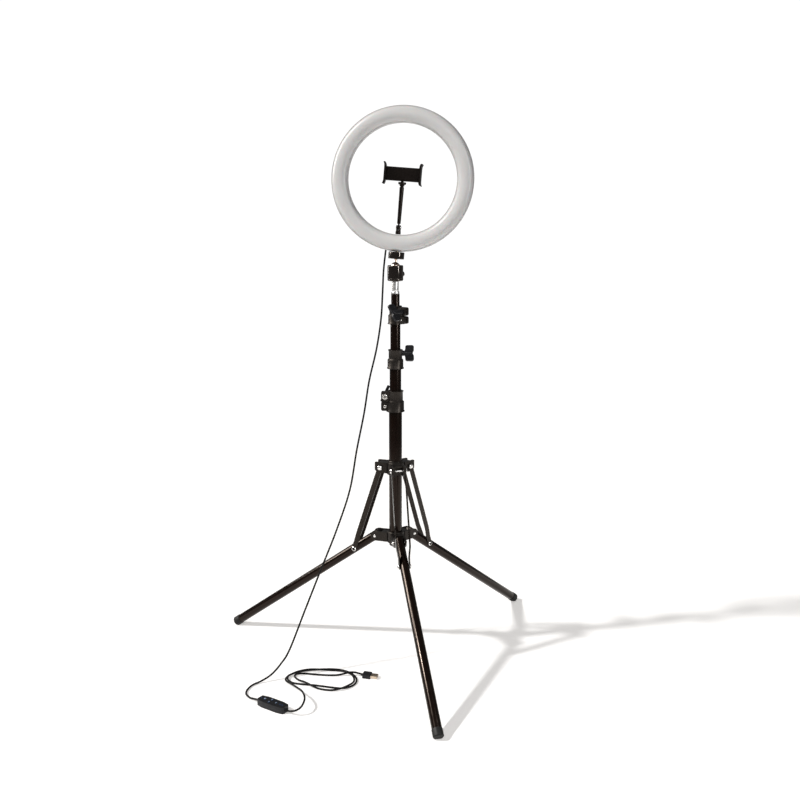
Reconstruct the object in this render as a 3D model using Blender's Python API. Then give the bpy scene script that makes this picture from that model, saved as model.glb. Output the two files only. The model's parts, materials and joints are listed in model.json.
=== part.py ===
"""A ring light on a reverse-folding tripod stand, with a phone holder and a corded dimmer.

The finished objects are in metres, +Z is up, and the floor is Z = 0. The origin is under the middle
of the footprint. Lengths here are in millimetres, and frame(), place() and cord() turn them into metres.
"""

import math

import bmesh
import bpy
from mathutils import Matrix, Vector

MM = 0.001
GAP = 0.3  # running gap between neighbouring pieces

# Place of the column's axis, measured from the middle of the footprint
COLUMN_X = 35.66
COLUMN_Y = 54.56

# Telescopic column: outside radius, bottom and top of each tube
TUBE_WALL = 1.2
OUTER_TUBE = (12.5, 218.0, 504.7)
SECOND_TUBE = (11.0, 302.0, 585.8)
THIRD_TUBE = (9.5, 380.0, 669.8)
TOP_TUBE = (8.0, 409.0, 710.5)
TUBE_SIDES = 24
COLLAR_SIDES = 24
HOLE_SIDES = 10
SMALL_SIDES = 12
LEG_SIDES = 18

# Clamp collars: bottom, height, and the azimuth that the ears point to
LOWER_COLLAR = (486.0, 40.0, 180.0)
MIDDLE_COLLAR = (569.0, 36.0, 90.0)
UPPER_COLLAR = (654.0, 34.0, -40.0)
COLLAR_LOWER_WALL = 4.0
COLLAR_UPPER_WALL = 3.3
EAR_REACH = 27.5
EAR_HALF_WIDTH = 6.2
BOLT_REACH = 20.2
BOLT_RADIUS = 2.0

# Legs and struts
LEG_AZIMUTHS = {"front": -78.2, "right": 41.8, "left": 161.8}
LEG_SLOPE = 35.8  # degrees below the horizontal
LEG_HINGE_R = 39.1
LEG_HINGE_Z = 234.4
LEG_RADIUS = 9.0
LEG_HEEL = 7.5
LEG_END = 386.5
FOOT_RADIUS = 10.1
FOOT_START = 376.0
FOOT_END = 392.0
STRUT_HINGE_R = 27.5
STRUT_HINGE_Z = 374.5
STRUT_LEAN = 18.1  # degrees from the vertical
STRUT_LENGTH = 181.3
STRUT_HALF_WIDTH = 5.0
STRUT_THICK = 1.5
STRUT_TOP_OFFSET = 12.6
STRUT_FOOT_OFFSET = 9.4
PIN_RADIUS = 2.0

# Spiders
HUB_RADIUS = 17.0
LOWER_HUB = (224.0, 246.0)
UPPER_HUB = (362.0, 386.0)

# Ball head
BALL_Z = 760.0
BALL_RADIUS = 9.25
HOUSING_RADIUS = 14.8
HOUSING = (734.6, 763.4)
DISC_RADIUS = 14.9
DISC = (14.7, 26.5)  # bottom and top above the ball's centre
HEAD_ROLL = 4.8
HEAD_PITCH = -3.0
HEAD_YAW = -7.0
LOCK_AZIMUTH = 50.0

# Ring lamp, in its own frame: Z is the way the light shines
RING_HEIGHT = 160.5  # centre of the ring above the ball's centre
RING_BACK = -5.0  # ring centre in front of the stem
RING_OUTER = 132.0
RING_INNER = 100.5
RING_HALF_DEPTH = 11.5
RING_WALL = 2.0
RING_SIDES = 40
GLAND_AT = (-23.0, -113.5)

# Phone holder, above the ball's centre along the ring's own upright
HOLDER_Y = -1.0
KNUCKLE = (60.5, 77.0)
ARM_HINGE = 72.5
ARM_BOTTOM = 79.5
ARM_TOP = 143.0
NECK_TOP = 149.0
SWIVEL = (147.6, 155.0)
CLIP_BOTTOM = 157.2
CLIP_SIZE = (63.5, 11.0, 24.5)
JAW_HALF_HEIGHT = 19.5

# Dimmer, plug and cord
CORD_RADIUS = 1.75
CORD_FLOOR = 1.95
CORD_STEP = 16.0
CORD_END_STEP = 2.5
DIMMER_AT = (-216.5, -243.0)
DIMMER_TURN = -33.7
DIMMER_SIZE = (64.0, 23.0)
DIMMER_SPLIT = 6.0
DIMMER_TOP = 12.0
BUTTON_RADIUS = 2.3
BUTTONS = {"power": (-18.0, 0.0), "up": (-5.0, 4.4), "down": (-5.0, -4.4), "colour": (8.0, 0.0)}
PLUG_AT = (-61.0, -126.0)
PLUG_TURN = -15.0
PLUG_HALF_WIDTH = 7.8
PLUG_LENGTH = 16.0
USB_SHELL = (12.0, 12.5, 4.5)  # width, length and height of the metal shell
PLUG_HEIGHT = 8.0
COIL_AT = (-139.0, -140.0)
COIL_OUTER = (66.5, 43.0)
COIL_INNER = (48.0, 24.0)
COIL_TOP = 8.6

# The hanging cord, from the gland to the dimmer, in the column's frame
UPPER_ROUTE = [
    (-16.93, 21.35, 807.53),
    (-16.4, 25.6, 807.1),
    (-16.6, 30.6, 803.0),
    (-17.6, 31.6, 794.0),
    (-19.4, 30.0, 780.0),
    (-22.5, 26.0, 750.0),
    (-24.5, 22.0, 707.0),
    (-27.5, 17.5, 660.0),
    (-36.0, 9.0, 605.0),
    (-50.0, -1.0, 545.0),
    (-60.0, -10.0, 483.0),
    (-74.0, -21.0, 414.0),
    (-87.5, -31.5, 338.0),
    (-112.0, -52.0, 266.0),
    (-142.0, -76.0, 193.0),
    (-171.0, -99.0, 122.0),
    (-199.0, -121.0, 53.0),
    (-215.0, -132.0, 29.0),
    (-232.0, -141.0, 12.0),
    (-250.0, -151.0, 3.8),
    (-264.5, -163.0, CORD_FLOOR),
    (-271.0, -180.0, CORD_FLOOR),
    (-271.0, -196.0, CORD_FLOOR),
    (-262.0, -211.0, 2.6),
    (-250.5, -220.3, 4.8),
    (-243.4, -225.0, 5.0),
]

# From the dimmer to the coil, and from the coil to the plug
LOWER_ROUTE = [
    (-189.6, -260.95, 5.0),
    (-182.0, -265.0, 4.2),
    (-171.0, -258.5, 2.0),
    (-164.5, -240.0, CORD_FLOOR),
    (-163.5, -218.0, CORD_FLOOR),
    (-167.5, -199.0, CORD_FLOOR),
    (-175.3, -182.0, 2.2),
]
TAIL_ROUTE = [
    (-77.0, -121.6, 4.0),
    (-69.0, -124.0, 4.0),
    (-61.3, -125.9, 4.0),
]


# ---------------------------------------------------------------- tools


def vec(*values):
    return Vector(values)


def clear_scene():
    for old in list(bpy.data.objects):
        bpy.data.objects.remove(old, do_unlink=True)


def material(name, colour, roughness, metallic=0.0):
    found = bpy.data.materials.get(name)
    if found:
        return found
    made = bpy.data.materials.new(name)
    made.use_nodes = True
    shader = made.node_tree.nodes["Principled BSDF"]
    shader.inputs["Base Color"].default_value = (*colour, 1.0)
    shader.inputs["Roughness"].default_value = roughness
    shader.inputs["Metallic"].default_value = metallic
    return made


def frame(name, parent=None, matrix=None):
    """An empty that carries the pieces of one moving body, placed on its joint's axis."""
    made = bpy.data.objects.new(name, None)
    bpy.context.collection.objects.link(made)
    made.empty_display_size = 0.02
    made.parent = parent
    if matrix is not None:
        made.matrix_basis = matrix
        made.location *= MM
    return made


def at(x, y, z, turn=0.0):
    return Matrix.Translation(vec(x, y, z)) @ Matrix.Rotation(math.radians(turn), 4, "Z")


def shape(bm, name="tool"):
    """A closed bmesh made into an object whose faces point out."""
    bmesh.ops.recalc_face_normals(bm, faces=bm.faces)
    mesh = bpy.data.meshes.new(name)
    bm.to_mesh(mesh)
    bm.free()
    made = bpy.data.objects.new(name, mesh)
    bpy.context.collection.objects.link(made)
    return made


def moved(obj, matrix):
    obj.data.transform(matrix)
    return obj


def combine(target, operation, tools):
    """Join or cut with each tool in turn, and keep only the result."""
    for tool in tools:
        step = target.modifiers.new("step", "BOOLEAN")
        step.operation = operation
        step.solver = "EXACT"
        step.object = tool
        graph = bpy.context.evaluated_depsgraph_get()
        result = bpy.data.meshes.new_from_object(target.evaluated_get(graph))
        target.modifiers.clear()
        target.data = result
        bpy.data.objects.remove(tool, do_unlink=True)
    return target


def cut(target, *tools):
    return combine(target, "DIFFERENCE", tools)


def join(target, *tools):
    return combine(target, "UNION", tools)


def place(obj, name, look, parent, sharp=32.0):
    """Name a finished shape, bring it to metres, give it its material and hang it on its body's frame."""
    obj.name = name
    obj.data.name = name
    obj.data.transform(Matrix.Scale(MM, 4))
    obj.data.materials.clear()
    obj.data.materials.append(look)
    obj.data.shade_smooth()
    obj.data.set_sharp_from_angle(angle=math.radians(sharp))
    obj.parent = parent
    return obj


def lathe(profile, sides, closed=True):
    """Turn (radius, height) points about Z. An open profile starts and ends on the axis."""
    bm = bmesh.new()
    rings = []
    for radius, height in profile:
        if radius < 1e-6:
            rings.append([bm.verts.new(vec(0, 0, height))])
            continue
        angles = [2 * math.pi * side / sides for side in range(sides)]
        around = [vec(radius * math.cos(a), radius * math.sin(a), height) for a in angles]
        rings.append([bm.verts.new(point) for point in around])
    pairs = list(zip(rings, rings[1:]))
    if closed:
        pairs.append((rings[-1], rings[0]))
    for low, high in pairs:
        if len(low) == 1 and len(high) == 1:
            continue
        for side in range(sides):
            after = (side + 1) % sides
            if len(low) == 1:
                bm.faces.new((low[0], high[side], high[after]))
            elif len(high) == 1:
                bm.faces.new((low[side], high[0], low[after]))
            else:
                bm.faces.new((low[side], high[side], high[after], low[after]))
    return shape(bm)


def prism(outline, low, high):
    """Extrude a flat outline of (x, y) points in mm from z = low to z = high."""
    bm = bmesh.new()
    face = bm.faces.new([bm.verts.new(vec(x, y, low)) for x, y in outline])
    grown = bmesh.ops.extrude_face_region(bm, geom=[face])
    top = [item for item in grown["geom"] if isinstance(item, bmesh.types.BMVert)]
    bmesh.ops.translate(bm, verts=top, vec=vec(0, 0, high - low))
    return shape(bm)


def box(low, high):
    outline = [(low[0], low[1]), (high[0], low[1]), (high[0], high[1]), (low[0], high[1])]
    return prism(outline, low[2], high[2])


def rod(radius, low, high, sides=16):
    return lathe([(0, low), (radius, low), (radius, high), (0, high)], sides, closed=False)


def along_y(obj):
    """Turn a shape made about Z so that its Z runs along +Y."""
    return moved(obj, Matrix.Rotation(math.radians(-90), 4, "X"))


def upright(obj):
    """Stand an outline of (x, z) points up: its y becomes Z, and its thickness runs along -Y."""
    return moved(obj, Matrix.Rotation(math.radians(90), 4, "X"))


def arc(centre, radius, start, end, steps):
    """Points on an arc between two angles in degrees, both ends included."""
    points = []
    for step in range(steps + 1):
        angle = math.radians(start + (end - start) * step / steps)
        points.append((centre[0] + radius * math.cos(angle), centre[1] + radius * math.sin(angle)))
    return points


def rounded(low, high, radius, steps=3):
    """A rectangle's outline with round corners."""
    (x0, y0), (x1, y1) = low, high
    corners = [(x1 - radius, y0 + radius, -90), (x1 - radius, y1 - radius, 0)]
    corners += [(x0 + radius, y1 - radius, 90), (x0 + radius, y0 + radius, 180)]
    points = []
    for x, y, start in corners:
        points += arc((x, y), radius, start, start + 90, steps)
    return points


def ellipse(radii, sides):
    angles = [2 * math.pi * side / sides for side in range(sides)]
    return [(radii[0] * math.cos(angle), radii[1] * math.sin(angle)) for angle in angles]


def smooth_route(points, step):
    """A Catmull-Rom curve through the route's points, read at an even spacing, and closer at its ends."""
    ends = [2 * points[0] - points[1], *points, 2 * points[-1] - points[-2]]
    fine = []
    for index in range(1, len(ends) - 2):
        before, start, end, after = ends[index - 1 : index + 3]
        for part in range(20):
            t = part / 20
            fine.append(
                0.5 * (2 * start + (end - before) * t
                       + (2 * before - 5 * start + 4 * end - after) * t**2
                       + (3 * start - before - 3 * end + after) * t**3)
            )
    fine.append(points[-1])
    lengths = [0.0]
    for low, high in zip(fine, fine[1:]):
        lengths.append(lengths[-1] + (high - low).length)
    count = max(2, round(lengths[-1] / step))
    wanted_lengths = [lengths[-1] * number / count for number in range(count + 1)]
    wanted_lengths += [CORD_END_STEP, lengths[-1] - CORD_END_STEP]
    even = []
    index = 0
    for wanted in sorted(wanted_lengths):
        while index < len(fine) - 2 and lengths[index + 1] < wanted:
            index += 1
        share = (wanted - lengths[index]) / (lengths[index + 1] - lengths[index])
        even.append(fine[index].lerp(fine[index + 1], min(1.0, share)))
    return even


def cord(name, route, look, parent):
    """A round tube along a smooth route, as a filled bevelled curve."""
    data = bpy.data.curves.new(name, "CURVE")
    data.dimensions = "3D"
    data.bevel_depth = CORD_RADIUS * MM
    data.bevel_resolution = 2
    data.use_fill_caps = True
    points = smooth_route([vec(*point) for point in route], CORD_STEP)
    spline = data.splines.new("POLY")
    spline.points.add(len(points) - 1)
    for target, point in zip(spline.points, points):
        target.co = (*(point * MM), 1.0)
    data.materials.append(look)
    made = bpy.data.objects.new(name, data)
    bpy.context.collection.objects.link(made)
    made.parent = parent
    return made


# ---------------------------------------------------------------- column


def tube(name, size, look, parent, base=0.0):
    radius, low, high = size
    inner = radius - TUBE_WALL
    low, high = low - base, high - base
    profile = [(inner, low), (radius, low), (radius, high), (inner, high)]
    return place(lathe(profile, TUBE_SIDES), name, look, parent)


def collar_body(height, lower_tube, upper_tube):
    """Two clamping tiers with flared rims, joined at the back, with a pair of ears on each."""
    middle = height * 0.475
    lower_bore = lower_tube + GAP
    upper_bore = upper_tube + GAP
    lower_outer = lower_tube + COLLAR_LOWER_WALL
    upper_outer = upper_tube + COLLAR_UPPER_WALL
    flare = 1.2
    profile = [
        (0, 0), (lower_outer + flare, 0), (lower_outer + flare, 1.2), (lower_outer, 3.0),
        (lower_outer, middle), (upper_outer, middle + 2.2), (upper_outer, height - 3.0),
        (upper_outer + flare, height - 1.2), (upper_outer + flare, height), (0, height),
    ]
    body = lathe(profile, COLLAR_SIDES, closed=False)
    tiers = ((1.6, middle - 0.6), (middle + 0.6, height - 1.6))
    for low, high in tiers:
        outline = rounded((9.0, low), (EAR_REACH, high), 3.0, 2)
        ears = upright(prism(outline, -EAR_HALF_WIDTH, EAR_HALF_WIDTH))
        join(body, ears)
    steps = [(0, -5), (lower_bore, -5), (lower_bore, middle), (upper_bore, middle)]
    bore = lathe([*steps, (upper_bore, height + 5), (0, height + 5)], TUBE_SIDES, closed=False)
    slit = box((0, -1.0, -5), (40, 1.0, height + 5))
    groove = box((3.0, -40, middle - 0.6), (40, 40, middle + 0.6))
    cut(body, bore, slit, groove)
    for low, high in tiers:
        radius = BOLT_RADIUS + GAP if low > middle else 1.8
        hole = along_y(rod(radius, -20, 20, HOLE_SIDES))
        cut(body, moved(hole, Matrix.Translation(vec(BOLT_REACH, 0, (low + high) / 2))))
    return body, (tiers[1][0] + tiers[1][1]) / 2


def clamp_bolt():
    """Pan head and shank about Z; the head is on +Z."""
    head = EAR_HALF_WIDTH + GAP
    profile = [(0, -17), (BOLT_RADIUS, -17), (BOLT_RADIUS, head), (5.2, head)]
    profile += [(5.2, head + 2.0), (4.2, head + 3.2), (0, head + 3.2)]
    return lathe(profile, SMALL_SIDES, closed=False)


def wing_knob():
    """A boss about Z with two rounded wings, reaching towards -Z, and a blind hole for the bolt."""
    start = -EAR_HALF_WIDTH - GAP
    profile = [(0, start), (5.8, start), (5.0, -20), (4.6, -30), (3.4, -31.5), (0, -31.5)]
    boss = lathe(profile, SMALL_SIDES, closed=False)
    outline = [(-4.5, -19.0), (4.5, -19.0), (9.0, -20.5)]
    outline += arc((10.6, -27.0), 3.6, -10, 60, 2)[::-1]
    outline += arc((10.2, -33.0), 4.0, -90, -10, 4)[::-1]
    outline += [(4.5, -33.0), (0.0, -31.0)]
    outline += [(-x, y) for x, y in outline[::-1][1:-2]]
    wings = upright(prism(outline, -2.3, 2.3))
    join(boss, wings)
    return cut(boss, rod(BOLT_RADIUS + GAP, -17.5, 0, HOLE_SIDES))


def collar(name, setting, tubes, wing_turn, looks, body_frame, base=0.0):
    """One collar with its bolt, and its knob on a frame of its own."""
    low, height, azimuth = setting
    here = frame(name + "_frame", body_frame, at(0, 0, low - base, azimuth))
    body, bolt_height = collar_body(height, *tubes)
    place(body, name, looks["plastic"], here)
    bolt = moved(along_y(clamp_bolt()), Matrix.Translation(vec(BOLT_REACH, 0, bolt_height)))
    place(bolt, name + "_bolt", looks["chrome"], here)
    knob_frame = frame(name + "_knob_axis", here, at(BOLT_REACH, 0, bolt_height))
    turned = Matrix.Rotation(math.radians(wing_turn), 4, "Y") @ Matrix.Rotation(math.radians(-90), 4, "X")
    place(moved(wing_knob(), turned), name + "_knob", looks["knob"], knob_frame)


# ---------------------------------------------------------------- legs, struts and spiders


def bracket_ears(reach, low, high, inner, outer, tip):
    """Two parallel ears along +X, one on each side of the gap that they fork over."""
    ears = []
    for side in (-1, 1):
        near, far = sorted((side * inner, side * outer))
        outline = [(14.0, low), (reach, low), *tip, (14.0, high)]
        ears.append(upright(prism(outline, -far, -near)))
    return ears


def lower_spider():
    """Hub on the column's foot with three forks that the legs hinge in."""
    low, high = LOWER_HUB
    profile = [(0, low), (HUB_RADIUS, low), (HUB_RADIUS, high - 1), (HUB_RADIUS - 1, high), (0, high)]
    hub = lathe(profile, COLLAR_SIDES, closed=False)
    tip = arc((LEG_HINGE_R, 234.5), 9.5, -90, 90, 5)
    for azimuth in LEG_AZIMUTHS.values():
        turn = Matrix.Rotation(math.radians(azimuth), 4, "Z")
        for ear in bracket_ears(LEG_HINGE_R, 225.0, 244.0, LEG_RADIUS + GAP, 12.0, tip):
            join(hub, moved(ear, turn))
        join(hub, moved(box((13.5, -11.0, 239.0), (26.6, 11.0, 243.4)), turn))
        join(hub, moved(box((13.5, -11.0, 225.6), (20.0, 11.0, 243.0)), turn))
    for azimuth in LEG_AZIMUTHS.values():
        turn = Matrix.Rotation(math.radians(azimuth), 4, "Z")
        hole = along_y(rod(PIN_RADIUS + GAP, -20, 20, HOLE_SIDES))
        cut(hub, moved(hole, turn @ Matrix.Translation(vec(LEG_HINGE_R, 0, LEG_HINGE_Z))))
    return cut(hub, rod(OUTER_TUBE[0] + GAP, low - 5, high + 5, TUBE_SIDES))


def upper_spider(base):
    """Sliding hub with three forks that carry the strut pins."""
    low, high = UPPER_HUB
    collar_top = high + 3.0
    profile = [
        (0, low), (HUB_RADIUS, low), (HUB_RADIUS, high - 1), (HUB_RADIUS - 1, high), (14.6, high),
        (14.6, collar_top - 0.6), (14.0, collar_top), (0, collar_top),
    ]
    hub = lathe(profile, COLLAR_SIDES, closed=False)
    reach = 38.5
    tip = [(reach, 384.4), (reach - 0.6, 385.0)]
    for azimuth in LEG_AZIMUTHS.values():
        turn = Matrix.Rotation(math.radians(azimuth), 4, "Z")
        for side in (-1, 1):
            near, far = sorted((side * 7.75, side * 12.0))
            outline = [(14.0, 364.0), (32.0, 364.0), (reach, 369.5), *tip, (14.0, 385.0)]
            join(hub, moved(upright(prism(outline, -far, -near)), turn))
        join(hub, moved(box((13.5, -11.0, 381.0), (31.0, 11.0, 384.5)), turn))
        join(hub, moved(box((13.5, -11.0, 364.6), (19.5, 11.0, 384.0)), turn))
    for azimuth in LEG_AZIMUTHS.values():
        turn = Matrix.Rotation(math.radians(azimuth), 4, "Z")
        hole = along_y(rod(PIN_RADIUS + GAP, -20, 20, HOLE_SIDES))
        cut(hub, moved(hole, turn @ Matrix.Translation(vec(STRUT_HINGE_R, 0, STRUT_HINGE_Z))))
    cut(hub, rod(OUTER_TUBE[0] + GAP, low - 5, collar_top + 5, TUBE_SIDES))
    return moved(hub, Matrix.Translation(vec(0, 0, -base)))


def cross_pin(inner_length, head_radius, head_height):
    """A plain pin about Z with a low round head on each end."""
    half = inner_length / 2
    top = half + head_height
    profile = [(0, -top), (head_radius * 0.85, -top), (head_radius, -half), (PIN_RADIUS, -half)]
    profile += [(PIN_RADIUS, half), (head_radius, half), (head_radius * 0.85, top), (0, top)]
    return lathe(profile, SMALL_SIDES, closed=False)


def leg_tube():
    """Along +X from just behind the hinge, with a hole across it for the pin."""
    inner = LEG_RADIUS - TUBE_WALL
    profile = [(inner, -LEG_HEEL), (LEG_RADIUS, -LEG_HEEL), (LEG_RADIUS, LEG_END), (inner, LEG_END)]
    body = moved(lathe(profile, LEG_SIDES), Matrix.Rotation(math.radians(90), 4, "Y"))
    return cut(body, along_y(rod(PIN_RADIUS + GAP, -20, 20, HOLE_SIDES)))


def foot_cap():
    """A cup over the tube's end, cut flat where it stands on the floor."""
    inner = LEG_RADIUS + GAP
    cup = LEG_END + GAP
    profile = [(inner, FOOT_START), (FOOT_RADIUS - 0.4, FOOT_START), (FOOT_RADIUS, FOOT_START + 1.0)]
    profile += [(FOOT_RADIUS, FOOT_END - 0.8), (FOOT_RADIUS - 0.8, FOOT_END), (0, FOOT_END)]
    profile += [(0, cup), (inner, cup)]
    whole_cup = moved(lathe(profile, LEG_SIDES), Matrix.Rotation(math.radians(90), 4, "Y"))
    bm = bmesh.new()
    bm.from_mesh(whole_cup.data)
    bpy.data.objects.remove(whole_cup, do_unlink=True)
    slope = math.radians(LEG_SLOPE)
    floor_normal = Vector((math.sin(slope), 0.0, -math.cos(slope)))
    whole = bm.verts[:] + bm.edges[:] + bm.faces[:]
    below = floor_normal * LEG_HINGE_Z
    done = bmesh.ops.bisect_plane(bm, geom=whole, plane_co=below, plane_no=floor_normal, clear_outer=True)
    rim = [item for item in done["geom_cut"] if isinstance(item, bmesh.types.BMEdge)]
    bmesh.ops.edgeloop_fill(bm, edges=rim)
    return shape(bm)


def strut_plate(side):
    """A flat bar along +X from the spider's pin, stepped inwards to lie against the leg."""
    bm = bmesh.new()
    length = STRUT_LENGTH
    stations = []
    for step in range(3):
        angle = math.radians(90 * (step + 0.25) / 3)
        stations.append((-STRUT_HALF_WIDTH * math.cos(angle), STRUT_HALF_WIDTH * math.sin(angle)))
    bends = (0.0, length - 38.0, length - 24.0, length - 16.0, length)
    stations += [(x, STRUT_HALF_WIDTH) for x in bends]
    for step in range(3):
        angle = math.radians(90 * (2.75 - step) / 3)
        stations.append((length + STRUT_HALF_WIDTH * math.cos(angle), STRUT_HALF_WIDTH * math.sin(angle)))
    loops = []
    for x, half in stations:
        share = min(1.0, max(0.0, (x - (length - 38.0)) / 22.0))
        offset = STRUT_TOP_OFFSET + (STRUT_FOOT_OFFSET - STRUT_TOP_OFFSET) * share
        near, far = side * offset, side * (offset + STRUT_THICK)
        corners = [(near, -half), (far, -half), (far, half), (near, half)]
        loops.append([bm.verts.new(vec(x, y, z)) for y, z in corners])
    for low, high in zip(loops, loops[1:]):
        for index in range(4):
            after = (index + 1) % 4
            bm.faces.new((low[index], high[index], high[after], low[after]))
    bm.faces.new(loops[0])
    bm.faces.new(loops[-1][::-1])
    bar = shape(bm)
    cut(bar, along_y(rod(PIN_RADIUS + GAP, -20, 20, HOLE_SIDES)))
    face = STRUT_FOOT_OFFSET + STRUT_THICK
    head = lathe([(0, -1.0), (4.0, -1.0), (4.0, 1.2), (2.8, 2.1), (0, 2.4)], SMALL_SIDES, closed=False)
    turn = Matrix.Rotation(math.radians(-90 * side), 4, "X")
    rivet = moved(head, Matrix.Translation(vec(length, side * face, 0)) @ turn)
    return join(bar, rivet)


def legs_and_struts(looks, stand, slider, slider_base):
    for name, azimuth in LEG_AZIMUTHS.items():
        turn = Matrix.Rotation(math.radians(azimuth), 4, "Z")
        hinge_place = turn @ Matrix.Translation(vec(LEG_HINGE_R, 0, LEG_HINGE_Z))
        tilt = Matrix.Rotation(math.radians(LEG_SLOPE), 4, "Y")
        hinge = frame(f"leg_hinge_{name}", stand, hinge_place @ tilt)
        place(leg_tube(), f"leg_tube_{name}", looks["paint"], hinge)
        place(foot_cap(), f"foot_cap_{name}", looks["rubber"], hinge)
        pin = moved(along_y(cross_pin(24.6, 3.0, 2.0)), hinge_place)
        place(pin, f"leg_pin_{name}", looks["chrome"], stand)

        top = Matrix.Translation(vec(STRUT_HINGE_R, 0, STRUT_HINGE_Z - slider_base))
        lean = Matrix.Rotation(math.radians(90 - STRUT_LEAN), 4, "Y")
        strut = frame(f"strut_hinge_{name}", slider, turn @ top @ lean)
        for side, label in ((1, "a"), (-1, "b")):
            place(strut_plate(side), f"strut_{label}_{name}", looks["paint"], strut)
        width = 2 * (STRUT_TOP_OFFSET + STRUT_THICK + GAP)
        bolt = moved(along_y(cross_pin(width, 5.0, 2.4)), turn @ top)
        place(bolt, f"strut_pin_{name}", looks["chrome"], slider)


# ---------------------------------------------------------------- ball head


def spigot():
    """Chrome post: a shank in the top tube, a flange, a barrel and a stud."""
    shank = TOP_TUBE[0] - TUBE_WALL - GAP
    top = HOUSING[0] - GAP
    flange = TOP_TUBE[2] + GAP
    profile = [
        (0, 690), (shank, 690), (shank, flange), (7.5, flange), (7.5, flange + 3.4), (6.9, flange + 4.2),
        (6.0, flange + 4.6), (6.0, flange + 6.2), (6.25, flange + 6.8), (6.25, top - 0.6), (5.8, top),
        (3.0, top), (3.0, 741), (0, 741),
    ]
    return lathe(profile, 18, closed=False)


def ball_housing(base):
    """A cup with a round socket for the ball, a blind hole below and a hole for the lock screw."""
    low, high = HOUSING
    socket = BALL_RADIUS + 2 * GAP
    rise = high - BALL_Z
    top_angle = math.degrees(math.asin(rise / socket))
    pocket = arc((0, BALL_Z), socket, top_angle, -90, 6)
    pocket = [(max(0.0, x), z) for x, z in pocket[:-1]] + [(0, BALL_Z - socket)]
    profile = [(0, 741.6), (3.3, 741.6), (3.3, low), (HOUSING_RADIUS - 1.4, low)]
    profile += [(HOUSING_RADIUS, low + 1.6), (HOUSING_RADIUS, high - 0.8)]
    profile += [(HOUSING_RADIUS - 0.8, high), *pocket]
    body = lathe(profile, COLLAR_SIDES, closed=False)
    hole = along_y(rod(BOLT_RADIUS + GAP, 9.5, 20, HOLE_SIDES))
    turn = Matrix.Rotation(math.radians(LOCK_AZIMUTH - 90), 4, "Z")
    cut(body, moved(hole, Matrix.Translation(vec(0, 0, 746.4)) @ turn))
    return moved(body, Matrix.Translation(vec(0, 0, -base)))


def lock_knob():
    """A screw about +Z with a small ribbed head."""
    start = HOUSING_RADIUS + 0.5
    profile = [(0, 10), (BOLT_RADIUS, 10), (BOLT_RADIUS, start), (4.2, start), (5.0, start + 0.8)]
    profile += [(5.0, start + 6.0), (4.2, start + 6.8), (0, start + 6.8)]
    return lathe(profile, SMALL_SIDES, closed=False)


def ball_stem():
    """Ball, neck and the stud that the lamp screws onto, about Z with the ball's centre at 0."""
    neck = 2.4
    start = math.degrees(math.asin(math.sqrt(1 - (neck / BALL_RADIUS) ** 2)))
    ball = arc((0, 0), BALL_RADIUS, -90, start, 8)
    profile = [(0, -BALL_RADIUS), *ball[1:], (neck, DISC[0] - 0.4), (3.0, DISC[0])]
    profile += [(3.0, 31.6), (2.4, 32.4), (0, 32.4)]
    return lathe(profile, 18, closed=False)


def platform_disc():
    low, high = DISC
    low += GAP
    profile = [(3.3, low), (DISC_RADIUS - 1.0, low), (DISC_RADIUS, low + 1.0)]
    profile += [(DISC_RADIUS, high - 0.8), (DISC_RADIUS - 0.8, high), (3.3, high)]
    return lathe(profile, COLLAR_SIDES)


def ring_socket():
    """Flanged insert in the lamp's rim that takes the stud."""
    low = DISC[1] + GAP
    profile = [(3.3, low), (8.5, low), (8.5, low + 1.2), (4.2, low + 1.2), (4.2, 33.0), (3.3, 33.0)]
    return lathe(profile, 18)


# ---------------------------------------------------------------- ring lamp


def ring_back_shell():
    """The trough behind the light: round outer wall, flat back, and a ledge for the board."""
    lip = 2.0
    depth = -RING_HALF_DEPTH
    outer = [(RING_OUTER, lip), (RING_OUTER, -2.5)]
    outer += arc((RING_OUTER - 9.0, -2.5), 9.0, 0, -90, 3)[1:]
    inner = arc((RING_INNER + 9.0, -2.5), 9.0, -90, -180, 3)
    inner += [(RING_INNER, lip)]
    inside = [
        (RING_INNER + RING_WALL, lip), (RING_INNER + RING_WALL, -4.0), (RING_INNER + 6.0, -4.0),
        (RING_INNER + 8.5, depth + RING_WALL), (RING_OUTER - 8.5, depth + RING_WALL),
        (RING_OUTER - 8.0, -4.0), (RING_OUTER - RING_WALL, -4.0), (RING_OUTER - RING_WALL, lip),
    ]
    shell = lathe(outer + inner + inside, RING_SIDES)
    hole = rod(4.7, RING_OUTER - 16, RING_OUTER + 5, 18)
    moved(hole, Matrix.Rotation(math.radians(90), 4, "X"))
    return cut(shell, moved(hole, Matrix.Translation(vec(0, 0, RING_BACK))))


def ring_led_board():
    inner = RING_INNER + RING_WALL + GAP
    outer = RING_OUTER - 5.6
    return lathe([(inner, -3.7), (outer, -3.7), (outer, -2.1), (inner, -2.1)], RING_SIDES)


def ring_diffuser():
    """The domed front, a shell of even wall that sits on the trough's lips."""
    middle = (RING_OUTER + RING_INNER) / 2
    half = (RING_OUTER - RING_INNER) / 2 - 0.2
    low = 2.0 + GAP
    rise = RING_HALF_DEPTH - low - 1.0

    def dome(width, height, steps):
        points = []
        for step in range(steps + 1):
            angle = math.pi * step / steps
            bulge = abs(math.sin(angle)) ** 0.8
            points.append((middle + width * math.cos(angle), low + 1.0 + height * bulge))
        return points

    outside = [(middle + half, low), *dome(half, rise, 8), (middle - half, low)]
    inside = [(middle - half + RING_WALL, low), *dome(half - RING_WALL, rise - RING_WALL, 5)[::-1]]
    inside += [(middle + half - RING_WALL, low)]
    return lathe(outside + inside, RING_SIDES)


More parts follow.
